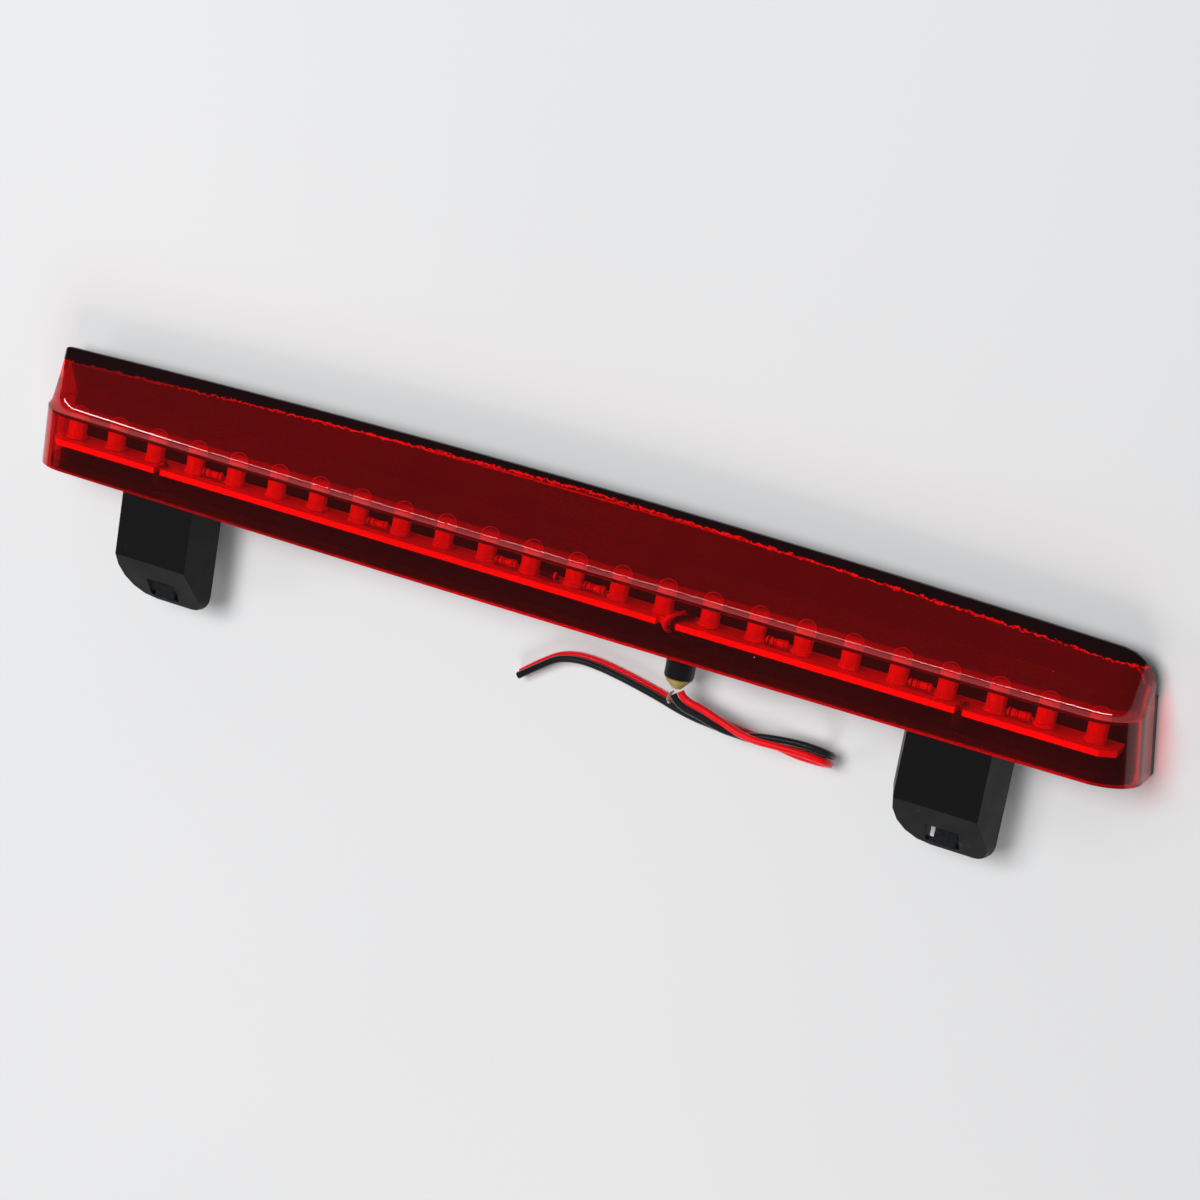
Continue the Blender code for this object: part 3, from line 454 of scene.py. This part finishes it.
def board_laminate():
    """Epoxy-paper laminate: pale tan, with tracks under a clear coat on the top in a darker tan that is
    painted shade, and a rough sawn edge.
    """
    made, tree, shader = started("board_laminate", IOR=1.5)
    place = node(tree, "TexCoord").outputs["Object"]
    split = node(tree, "SeparateXYZ", None, Vector=place)
    weave = node(tree, "TexNoise", None, Vector=place, Scale=per_mm(1.2), Detail=4.0)
    tone = node(tree, "ValToRGB", None, ((0.3, "#E9D9BC"), (0.7, "#F4E8D2")), i0=weave.outputs["Fac"])
    laid = node(tree, "Mapping", None, Vector=place, Rotation=(math.radians(90), 0.0, 0.0))
    block = node(tree, "TexBrick", {"offset": 0.5}, Vector=laid.outputs["Vector"], Scale=1.0,
                 Mortar_Size=0.35 * MM, Brick_Width=LED_PITCH, Row_Height=3.4 * MM,
                 Color1=colour("#DCC8A4"), Color2=colour("#E2D0AE"),
                 Mortar=colour("#F0E4CC"))
    # The top takes the track pattern in darker tans than the edge: the tracks are real, and the darker tan is
    # painted shade.
    top = node(tree, "Math", {"operation": "GREATER_THAN"}, i0=split.outputs["Y"],
               i1=BOARD_TOP_Y + SHIFT.y - 0.05 * MM)
    mixed = node(tree, "Mix", {"data_type": "RGBA"}, i0=top.outputs[0], i6=tone.outputs["Color"],
                 i7=block.outputs["Color"])
    tree.links.new(mixed.outputs[2], shader.inputs["Base Color"])
    gloss = node(tree, "MapRange", None, Value=weave.outputs["Fac"], i1=0.3, i2=0.7, i3=0.35, i4=0.6)
    tree.links.new(gloss.outputs[0], shader.inputs["Roughness"])
    bump = node(tree, "Bump", None, Strength=0.3, Distance=0.03 * MM, Height=weave.outputs["Fac"])
    tree.links.new(bump.outputs["Normal"], shader.inputs["Normal"])
    return made


ACRYLIC = red_acrylic()
ABS = black_abs()
LEG_ABS = black_abs("leg_abs", "#131314", (0.42, 0.58), 0.2)
EPOXY = led_epoxy()
BOARD = board_laminate()
FRAME_STEEL = plain("led_frame_steel", "#E8E4DC", "#FFFAF2", 1.5, (0.25, 0.45), Metallic=0.35)
SOLDER = plain("solder", "#B9BABD", "#D8D9DC", 0.8, (0.2, 0.4), Metallic=1.0)
LACQUER = plain("resistor_lacquer", "#CBB083", "#DCC59A", 1.2, (0.25, 0.4), IOR=1.5)
BAND_BROWN = plain("band_brown_lacquer", "#5A2A14", "#6B3418", 0.8, (0.25, 0.4), IOR=1.5)
BAND_BLACK = plain("band_black_lacquer", "#0E0D0D", "#1A1918", 0.8, (0.25, 0.4), IOR=1.5)
BAND_GOLD = plain("band_gold_lacquer", "#A07830", "#B98E3C", 0.8, (0.3, 0.45), Metallic=0.6)
DIODE = plain("diode_epoxy", "#141414", "#1D1D1E", 1.0, (0.25, 0.4), IOR=1.5)
DIODE_BAND = plain("diode_band_paint", "#C8C8C4", "#DEDEDA", 0.8, (0.35, 0.5), IOR=1.5)
ZINC = plain("zinc_plated_steel", "#A9ABAF", "#C9CBCF", 1.6, (0.22, 0.38), Metallic=1.0)
BLACK_STEEL = plain("black_oxide_steel", "#2A2B2D", "#3A3B3E", 1.2, (0.35, 0.55), 0.6, 0.05, Metallic=0.7)
RUBBER = plain("black_rubber", "#0C0B0E", "#141317", 4.0, (0.45, 0.62), 0.3, 0.02, IOR=1.52)
HOT_MELT = plain("hot_melt_glue", "#8E7C44", "#B49C62", 1.8, (0.28, 0.5), 1.0, 0.15, IOR=1.5,
                 Subsurface_Weight=0.25, Subsurface_Scale=0.001)
TINNED = plain("tinned_copper", "#D8D4CC", "#F4F2EE", 0.7, (0.2, 0.35), Metallic=0.9)
RED_PVC = plain("red_pvc", "#D8060C", "#E8101A", 12.0, (0.18, 0.28), 2.5, 0.04, IOR=1.53)
BLACK_PVC = plain("black_pvc", "#141517", "#1E1F22", 12.0, (0.2, 0.34), 2.5, 0.04, IOR=1.53)
CEMENT = plain("lens_cement", "#8A0408", "#B8060A", 2.0, (0.15, 0.4), 0.8, 0.1, IOR=1.49)
COPPER = plain("cut_copper", "#B4603A", "#CE7C50", 0.5, (0.3, 0.45), Metallic=1.0)


# ---- cords -------------------------------------------------------------------------------------------

def make_lead():
    for name, side, finish in (("red", 1, RED_PVC), ("black", -1, BLACK_PVC)):
        points = core_line(side)
        core = wire(f"lead_core_{name}", [points], CORE_RADIUS, finish)
        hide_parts(f"lead_{name}")
        end = points[-1]
        ahead = (end - points[-2]).normalized()
        copper = wire(f"lead_end_{name}", [[end - ahead * 1.5 * MM, end + ahead * 0.02 * MM]], 0.45 * MM,
                      COPPER)


make_lead()


# ---- mesh helpers ------------------------------------------------------------------------------------

def piece(name, bm, finishes, replaced=(), sharp=35.0):
    """Finish a bmesh made in the lamp's own frame as a piece in the row's frame."""
    bmesh.ops.translate(bm, verts=bm.verts, vec=SHIFT)
    mesh = bpy.data.meshes.new(name)
    bm.to_mesh(mesh)
    bm.free()
    mesh.shade_smooth()
    mesh.set_sharp_from_angle(angle=math.radians(sharp))
    thing = bpy.data.objects.new(name, mesh)
    bpy.context.scene.collection.objects.link(thing)
    for finish in finishes if isinstance(finishes, (list, tuple)) else [finishes]:
        mesh.materials.append(finish)
    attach(thing, "root")
    if replaced:
        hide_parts(*replaced)
    return thing


def spun(bm, profile, centre, steps, along_x=False):
    """Turn a profile of (radius, height) about an axis along Y, or along X, into a closed solid."""
    x, y, z = centre
    verts = []
    for radius, height in profile:
        place = (x + height, y, z + radius) if along_x else (x + radius, y + height, z)
        verts.append(bm.verts.new(place))
    edges = [bm.edges.new(pair) for pair in zip(verts, verts[1:])]
    axis = (1, 0, 0) if along_x else (0, 1, 0)
    turned = bmesh.ops.spin(bm, geom=verts + edges, cent=centre, axis=axis, dvec=(0, 0, 0), angle=math.tau,
                            steps=steps, use_merge=True, use_duplicate=False)
    bmesh.ops.remove_doubles(bm, verts=[v for v in bm.verts], dist=0.002 * MM)
    bmesh.ops.recalc_face_normals(bm, faces=bm.faces)
    return turned


def box(bm, low, high):
    low, high = Vector(low), Vector(high)
    made = bmesh.ops.create_cube(bm, size=1.0)
    bmesh.ops.scale(bm, verts=made["verts"], vec=high - low)
    bmesh.ops.translate(bm, verts=made["verts"], vec=(low + high) / 2)
    return made["verts"]


def round_edges(bm, width, segments, angle=30.0):
    sharp = [e for e in bm.edges if len(e.link_faces) == 2 and e.calc_face_angle(0.0) > math.radians(angle)]
    bmesh.ops.bevel(bm, geom=sharp, offset=width, offset_type="OFFSET", affect="EDGES", segments=segments,
                    profile=0.5, material=-1, clamp_overlap=True)


def rounded_copy(name, source, width, segments, finish, angle=25.0):
    """A copy of a CAD node with its edges rounded over, in the node's place."""
    bm = bmesh.new()
    bm.from_mesh(bpy.data.objects[source].data)
    bmesh.ops.remove_doubles(bm, verts=bm.verts, dist=0.005 * MM)
    bmesh.ops.dissolve_limit(bm, angle_limit=math.radians(1.5), verts=bm.verts, edges=bm.edges)
    round_edges(bm, width, segments, angle)
    bmesh.ops.triangulate(bm, faces=[f for f in bm.faces if len(f.verts) > 4])
    bmesh.ops.translate(bm, verts=bm.verts, vec=-SHIFT)
    thing = piece(name, bm, finish, (source,), 50.0)
    thing.modifiers.new("weighted", "WEIGHTED_NORMAL").keep_sharp = True
    return thing


# ---- lens --------------------------------------------------------------------------------------------

def end_x(side, y):
    up = min(1.0, (y - LENS_FOOT_Y) / END_DRAFT)
    return END_LOW[side] + (END_HIGH[side] - END_LOW[side]) * up


def lens_stations():
    """Stations from left to right: share of the straight length, reach round the corner, bow, fall, drop."""
    corner = []
    for i in range(1, CORNER_STEPS + 1):
        angle = math.radians(90.0 * i / CORNER_STEPS)
        corner.append((LENS_CORNER * math.sin(angle), LENS_CORNER * (1 - math.cos(angle)), 0.0))
    corner.append((LENS_CORNER, LENS_CORNER, END_DROP))
    left = [(-1.0, -reach, LENS_BOW, fall, drop) for reach, fall, drop in reversed(corner)]
    shares = [2 * i / STRAIGHT_STEPS - 1 for i in range(STRAIGHT_STEPS + 1)]
    middle = [(share, 0.0, LENS_BOW * share ** 2, 0.0, 0.0) for share in shares]
    return left + middle + [(1.0, reach, LENS_BOW, fall, drop) for reach, fall, drop in corner]


def station_x(station, y):
    side = "right" if station[0] > 0 else "left"
    return station[0] * (end_x(side, y) - LENS_CORNER) + station[1]


def rim_z(y):
    return RIM_Z + max(0.0, y - RIM_KNEE_Y) * RIM_SLOPE


def top_y(station):
    side = "right" if station[0] > 0 else "left"
    corner = TOP_CORNER[side]
    x = abs(station_x(station, LENS_TOP_Y))
    past = max(0.0, min(corner, x - (END_HIGH[side] - corner)))
    bow = LENS_TOP_BOW * (x / END_HIGH[side]) ** 2
    return LENS_TOP_Y - bow - (corner - math.sqrt(corner ** 2 - past ** 2))


def lens_line(station):
    """Front line across Y and Z at one station, run on past the foot and the top edge."""
    bow, fall, drop = station[2:]
    front = LENS_FRONT_Z - bow
    keep = 1 - fall / (front - RIM_Z)
    top = top_y(station)
    corners = [(LENS_FOOT_Y - CUT_REACH, front), (LEDGE_LOW_Y, front), (LEDGE_HIGH_Y, front - LEDGE_STEP),
               (top, rim_z(top))]
    line = []
    for y, z in corners:
        line.append(Vector((y, rim_z(y) + (z - rim_z(y)) * keep)))
    turned = min(1.0, fall / LENS_CORNER)
    ahead = (line[3] - line[2]).normalized().lerp(RIM_NORMAL.yz, turned).normalized()
    spread = [line[0].lerp(line[1], k / 4) for k in range(5)]
    spread += [line[2].lerp(line[3], k / 5) for k in range(6)]
    return [Vector((y, z - drop)) for y, z in spread + [line[3] + ahead * CUT_REACH]]


def lens_sheet():
    """The lens's outer face as a grid, bent to its stations."""
    stations = lens_stations()
    lines = [lens_line(station) for station in stations]
    across, along = len(lines[0]), len(stations)
    bm = bmesh.new()
    bmesh.ops.create_grid(bm, x_segments=along - 1, y_segments=across - 1, size=1.0)
    for vert in bm.verts:
        i = round((vert.co.x + 1) / 2 * (along - 1))
        j = round((vert.co.y + 1) / 2 * (across - 1))
        y, z = lines[i][j]
        vert.co = (station_x(stations[i], y), y, z)
    return bm


def sliced(bm, point, normal):
    """Cut away what lies beyond a plane and close the cut."""
    bmesh.ops.bisect_plane(bm, geom=bm.verts[:] + bm.edges[:] + bm.faces[:], dist=0.001 * MM, plane_co=point,
                           plane_no=normal, clear_outer=True)
    open_edges = [e for e in bm.edges if len(e.link_faces) == 1]
    bmesh.ops.holes_fill(bm, edges=open_edges, sides=0)


def make_lens():
    bm = lens_sheet()
    bmesh.ops.recalc_face_normals(bm, faces=bm.faces)
    front = Vector((0.0, 8 * MM))
    middle = min(bm.faces, key=lambda f: sum(abs(c) for c in f.calc_center_median().xy - front))
    if middle.normal.z < 0:
        bmesh.ops.reverse_faces(bm, faces=bm.faces)
    bmesh.ops.solidify(bm, geom=bm.faces[:], thickness=LENS_WALL)
    sliced(bm, (0, 0, RIM_Z), (0, 0, -1))
    sliced(bm, (0, RIM_KNEE_Y, RIM_Z), RIM_NORMAL)
    sliced(bm, (0, LENS_FOOT_Y, 0), (0, -1, 0))
    bmesh.ops.remove_doubles(bm, verts=bm.verts, dist=0.004 * MM)
    bmesh.ops.recalc_face_normals(bm, faces=bm.faces)
    round_edges(bm, LENS_ROUNDING, 3, 32.0)
    bmesh.ops.triangulate(bm, faces=[f for f in bm.faces if len(f.verts) > 4])
    bmesh.ops.recalc_face_normals(bm, faces=bm.faces)
    lens = piece("lens_cover", bm, ACRYLIC, ("lens",), 60.0)
    lens.modifiers.new("weighted", "WEIGHTED_NORMAL").keep_sharp = True


def make_cement():
    """The ragged bead where the lens was cemented on: it runs along the top and round the right corner."""
    random.seed(7)
    corner = TOP_CORNER["right"]
    middle_x = END_HIGH["right"] - corner
    start_x = LENS_CORNER - END_HIGH["left"]
    line = []
    steps = 520
    for i in range(steps + 1):
        x = start_x + (middle_x - start_x) * i / steps
        bow = LENS_TOP_BOW * (x / END_HIGH["right"]) ** 2
        sway = 0.12 * MM * noise.noise((x * 300, 0, 0)) + 0.07 * MM * noise.noise((x * 1400, 3, 0))
        line.append((x, LENS_TOP_Y - bow - CEMENT_INSET - 0.15 * MM + sway))
    low = line[-1][1]
    turn = corner - CEMENT_INSET - 0.15 * MM
    for i in range(1, 25):
        angle = math.radians(85.0 * i / 24)
        line.append((middle_x + turn * math.sin(angle), low - turn * (1 - math.cos(angle))))
    points = [Vector((x, y, rim_z(y) + CEMENT_RADIUS + 0.03 * MM)) for x, y in line]
    lumps = [0.72 + 0.28 * noise.noise((i * 0.31, 5, 0)) + random.uniform(-0.22, 0.12)
             for i in range(len(points))]
    bead = wire("cement_bead", [points], CEMENT_RADIUS, CEMENT, 3, lambda n: min(1.0, lumps[n]))
    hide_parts("lens_cement")


# ---- board parts -------------------------------------------------------------------------------------

def led_x(number):
    return (number - (LED_COUNT + 1) / 2) * LED_PITCH


def led_profile():
    low = BOARD_TOP_Y + GAP
    dome = low + LED_HEIGHT - LED_RADIUS
    profile = [(0, low), (LED_FLANGE - 0.15 * MM, low), (LED_FLANGE, low + 0.15 * MM),
               (LED_FLANGE, low + 0.85 * MM), (LED_FLANGE - 0.15 * MM, low + 1.0 * MM),
               (LED_RADIUS, low + 1.05 * MM), (LED_RADIUS, dome)]
    for k in range(1, 9):
        angle = math.radians(90.0 * k / 8)
        profile.append((LED_RADIUS * math.cos(angle) if k < 8 else 0.0, dome + LED_RADIUS * math.sin(angle)))
    return profile


def make_led(number):
    """One LED: its epoxy body, and inside it the post, the anvil with its cup, and the two leads."""
    x = led_x(number)
    bm = bmesh.new()
    spun(bm, led_profile(), (x, 0.0, LED_Z), 32)
    flat = [v for v in bm.verts if v.co.y < BOARD_TOP_Y + GAP + 1.02 * MM and v.co.x - x > LED_RADIUS]
    for vert in flat:
        vert.co.x = x + LED_RADIUS
    piece(f"led_{number:02d}_body", bm, EPOXY, (f"led_{number:02d}",), 40.0)
    low = BOARD_TOP_Y + GAP + 0.2 * MM
    bm = bmesh.new()
    half = 0.22 * MM
    foot = BOARD_TOP_Y - BOARD_THICK - 1.2 * MM
    for side in (-1, 1):
        middle = x + side * LEAD_SPACING / 2
        box(bm, (middle - half, foot, LED_Z - half), (middle + half, low + 2.2 * MM, LED_Z + half))
    box(bm, (x - 1.75 * MM, low + 1.7 * MM, LED_Z - half), (x - 0.05 * MM, low + 3.6 * MM, LED_Z + half))
    box(bm, (x + 0.45 * MM, low + 2.0 * MM, LED_Z - half), (x + 1.6 * MM, low + 3.9 * MM, LED_Z + half))
    spun(bm, ((0, low + 3.5 * MM), (0.55 * MM, low + 3.5 * MM), (0.95 * MM, low + 4.5 * MM),
              (0.8 * MM, low + 4.5 * MM), (0.4 * MM, low + 3.8 * MM), (0, low + 3.8 * MM)),
         (x - 0.7 * MM, 0.0, LED_Z), 14)
    piece(f"led_{number:02d}_frame", bm, FRAME_STEEL, (), 30.0)


def make_resistor(number, after):
    """A resistor: swollen ends, four colour bands and two bent leads."""
    x = led_x(after) + LED_PITCH / 2
    y = BOARD_TOP_Y + GAP + RESISTOR_RADIUS + 0.3 * MM
    half, radius = RESISTOR_LENGTH / 2, RESISTOR_RADIUS
    shape = ((-1.0, 0.0), (-1.0, 0.45), (-0.96, 0.75), (-0.88, 0.95), (-0.8, 1.0), (-0.6, 1.0), (-0.5, 0.92),
             (-0.42, 0.84), (-0.3, 0.82), (-0.22, 0.82), (-0.1, 0.82), (-0.02, 0.82), (0.1, 0.82),
             (0.18, 0.82), (0.42, 0.84), (0.5, 0.92), (0.6, 1.0), (0.8, 1.0), (0.88, 0.95), (0.96, 0.75),
             (1.0, 0.45), (1.0, 0.0))
    bm = bmesh.new()
    spun(bm, [(radius * r, half * s) for s, r in shape], (x, y, RESISTOR_Z), 20, True)
    for face in bm.faces:
        s = (face.calc_center_median().x - x) / half
        for low, high, slot_number in ((-0.8, -0.6, 1), (-0.3, -0.22, 2), (-0.1, -0.02, 1), (0.6, 0.8, 3)):
            if low < s < high:
                face.material_index = slot_number
    piece(f"resistor_{number}_body", bm, [LACQUER, BAND_BROWN, BAND_BLACK, BAND_GOLD],
          (f"resistor_{number}",), 35.0)
    bent_leads(f"resistor_{number}_leads", x, y, half)


def bent_leads(name, x, y, half):
    lines = []
    for side in (-1, 1):
        route = [Vector((x + side * (half - 0.2 * MM), y, RESISTOR_Z)),
                 Vector((x + side * (half + 0.25 * MM), y, RESISTOR_Z)),
                 Vector((x + side * (half + 0.5 * MM), y - 0.25 * MM, RESISTOR_Z)),
                 Vector((x + side * (half + 0.5 * MM), BOARD_TOP_Y - 0.1 * MM, RESISTOR_Z))]
        lines.append([place for _, place in smooth_line(route, 0.15 * MM)])
    wire(name, lines, 0.28 * MM, SOLDER, 3)


def make_diode():
    x = led_x(12) + LED_PITCH / 2
    y = BOARD_TOP_Y + GAP + RESISTOR_RADIUS + 0.3 * MM
    half, radius = 0.42 * RESISTOR_LENGTH, 0.95 * RESISTOR_RADIUS
    shape = ((-1.0, 0.0), (-1.0, 0.85), (-0.95, 1.0), (0.5, 1.0), (0.75, 1.0), (0.95, 1.0), (1.0, 0.85),
             (1.0, 0.0))
    bm = bmesh.new()
    spun(bm, [(radius * r, half * s) for s, r in shape], (x, y, RESISTOR_Z), 24, True)
    for face in bm.faces:
        if 0.5 < (face.calc_center_median().x - x) / half < 0.75:
            face.material_index = 1
    piece("diode_body", bm, [DIODE, DIODE_BAND], ("diode",), 35.0)
    bent_leads("diode_leads", x, y, half)


def make_solder_joints():
    """A cone of solder round each LED lead, under the board."""
    low = BOARD_TOP_Y - BOARD_THICK
    bm = bmesh.new()
    for number in range(1, LED_COUNT + 1):
        for side in (-1, 1):
            centre = (led_x(number) + side * LEAD_SPACING / 2, 0.0, LED_Z)
            spun_once(bm, ((0.0, low - 1.0 * MM), (0.3 * MM, low - 0.95 * MM), (0.45 * MM, low - 0.55 * MM),
                           (0.9 * MM, low - 0.08 * MM), (0.95 * MM, low), (0.0, low)), centre, 12)
    bmesh.ops.remove_doubles(bm, verts=bm.verts, dist=0.002 * MM)
    bmesh.ops.recalc_face_normals(bm, faces=bm.faces)
    piece("solder_joints", bm, SOLDER)


def spun_once(bm, profile, centre, steps):
    """As spun, without cleaning up, for many small solids in one mesh."""
    verts = [bm.verts.new((centre[0] + radius, height, centre[2])) for radius, height in profile]
    edges = [bm.edges.new(pair) for pair in zip(verts, verts[1:])]
    bmesh.ops.spin(bm, geom=verts + edges, cent=centre, axis=(0, 1, 0), dvec=(0, 0, 0), angle=math.tau,
                   steps=steps, use_merge=True, use_duplicate=False)


def make_inner_wires():
    for name, finish in (("red", RED_PVC), ("black", BLACK_PVC)):
        route = [Vector(place) * MM for place in INNER_ROUTES[name]]
        thing = wire(f"board_wire_{name}", [[p for _, p in smooth_line(route, 0.8 * MM)]], 0.7 * MM, finish)
        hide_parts(f"inner_wire_{name}")


def make_strand():
    """The bare end: seven fine tinned wires, loosely twisted and splayed at the tip."""
    random.seed(3)
    route = [Vector(place) * MM for place in STRAND_ROUTE]
    lines = []
    for k in range(7):
        phase = math.tau * k / 6
        reach = 0.0 if k == 6 else 0.27 * MM
        line = []
        for t, place in smooth_line(route, 0.25 * MM):
            turn = phase + 1.9 * t
            splay = 1.0 + 0.25 * max(0.0, t - 2.0)
            line.append(place + Vector((math.cos(turn), 0.0, math.sin(turn))) * reach * splay)
        lines.append(line[:len(line) - random.randint(0, 3)])
    strand = wire("bare_strand", lines, 0.13 * MM, TINNED, 3)
    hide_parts("tinned_strand")


def make_seal():
    """The hot melt that closes the cable boss: a drooping cone, lumpy and pulled to the cores."""
    bm = bmesh.new()
    top, end = SEAL_TOP_Y, SEAL_END_Y
    profile = ((0.0, end), (0.7 * MM, end - 0.05 * MM), (1.4 * MM, end + 0.1 * MM),
               (2.0 * MM, end + 0.7 * MM),
               (2.7 * MM, end + 1.3 * MM), (3.3 * MM, end + 1.85 * MM), (3.6 * MM, end + 2.3 * MM),
               (3.68 * MM, top - 0.1 * MM), (3.6 * MM, top), (0.0, top))
    spun(bm, profile, (EXIT[0], 0.0, EXIT[1]), 40)
    bmesh.ops.subdivide_edges(bm, edges=bm.edges[:], cuts=1, use_grid_fill=True)
    for vert in bm.verts:
        if vert.co.y < top - 0.2 * MM:
            away = Vector((vert.co.x - EXIT[0], 0.0, vert.co.z - EXIT[1]))
            lump = noise.noise(vert.co * 700) * 0.12 + noise.noise(vert.co * 1800) * 0.05 - 0.1
            vert.co += away * lump
    piece("cable_seal_glue", bm, HOT_MELT, ("cable_seal",), 60.0)


def finish_cad():
    """Materials for the CAD nodes that keep their own shape."""
    for name, finish in (("circuit_board", BOARD), ("housing", ABS)):
        cad = bpy.data.objects[name]
        cad.data.materials.clear()
        cad.data.materials.append(finish)


# ---- stage -------------------------------------------------------------------------------------------

def make_floor():
    bm = bmesh.new()
    bmesh.ops.create_grid(bm, x_segments=1, y_segments=1, size=4.0)
    bmesh.ops.translate(bm, verts=bm.verts, vec=(0, 0, -0.05 * MM))
    mesh = bpy.data.meshes.new("floor")
    bm.to_mesh(mesh)
    bm.free()
    floor = bpy.data.objects.new("floor", mesh)
    bpy.context.scene.collection.objects.link(floor)
    made, tree, shader = started("pale_paper", Roughness=0.9)
    place = node(tree, "TexCoord").outputs["Object"]
    cloud = node(tree, "TexNoise", None, Vector=place, Scale=2.0, Detail=2.0)
    tone = node(tree, "ValToRGB", None, ((0.3, "#CFD0D1"), (0.7, "#D6D6D7")), i0=cloud.outputs["Fac"])
    tree.links.new(tone.outputs["Color"], shader.inputs["Base Color"])
    mesh.materials.append(made)


def area_light(name, direction, distance, width, height, power, tone="#FFFFFF"):
    data = bpy.data.lights.new(name, "AREA")
    data.shape = "RECTANGLE"
    data.size = width
    data.size_y = height
    data.energy = power
    data.color = colour(tone)[:3]
    light = bpy.data.objects.new(name, data)
    bpy.context.scene.collection.objects.link(light)
    away = Vector(direction).normalized()
    turn = away.to_track_quat("Z", "Y").to_matrix().to_4x4()
    light.matrix_world = Matrix.Translation(away * distance) @ turn
    return light


def make_lights():
    """Three large softboxes that only light, and two small lights that also show in the polished faces."""
    for soft in (area_light("key_softbox", (-0.15, 0.25, 0.95), 1.6, 0.9, 0.9, 24),
                 area_light("fill_softbox", (-0.85, -0.35, 0.42), 1.6, 0.8, 0.6, 6),
                 area_light("front_softbox", (0.25, -0.80, 0.60), 1.6, 0.9, 0.6, 9)):
        soft.visible_glossy = False
    area_light("top_strip", (-0.30, 0.93, 0.16), 1.3, 2.2, 0.03, 4.5)
    area_light("glint_softbox", (-0.36, 0.30, 0.88), 1.5, 0.3, 0.14, 1.0)
    world = bpy.data.worlds.new("studio")
    world.use_nodes = True
    background = world.node_tree.nodes["Background"]
    background.inputs["Color"].default_value = colour("#F2F4F6")
    background.inputs["Strength"].default_value = 0.10
    bpy.context.scene.world = world
    # A plain transform keeps a saturated red saturated where it is brightly lit.
    bpy.context.scene.view_settings.view_transform = "Standard"


# ---- assembly ----------------------------------------------------------------------------------------

make_lens()
make_cement()
for led_number in range(1, LED_COUNT + 1):
    make_led(led_number)
for resistor_number, led_before in enumerate(RESISTOR_AFTER, 1):
    make_resistor(resistor_number, led_before)
make_diode()
make_solder_joints()
make_inner_wires()
make_strand()
make_seal()
finish_cad()
for side_name in ("left", "right"):
    rounded_copy(f"{side_name}_leg_moulding", f"{side_name}_leg", 0.45 * MM, 3, LEG_ABS)
    rounded_copy(f"{side_name}_nut_block", f"{side_name}_leg_nut", 0.15 * MM, 2, BLACK_STEEL)
    rounded_copy(f"{side_name}_board_screw", f"{side_name}_screw", 0.08 * MM, 2, ZINC)
rounded_copy("cable_boss", "cable_grommet", 0.2 * MM, 2, RUBBER, 40.0)
make_floor()
make_lights()
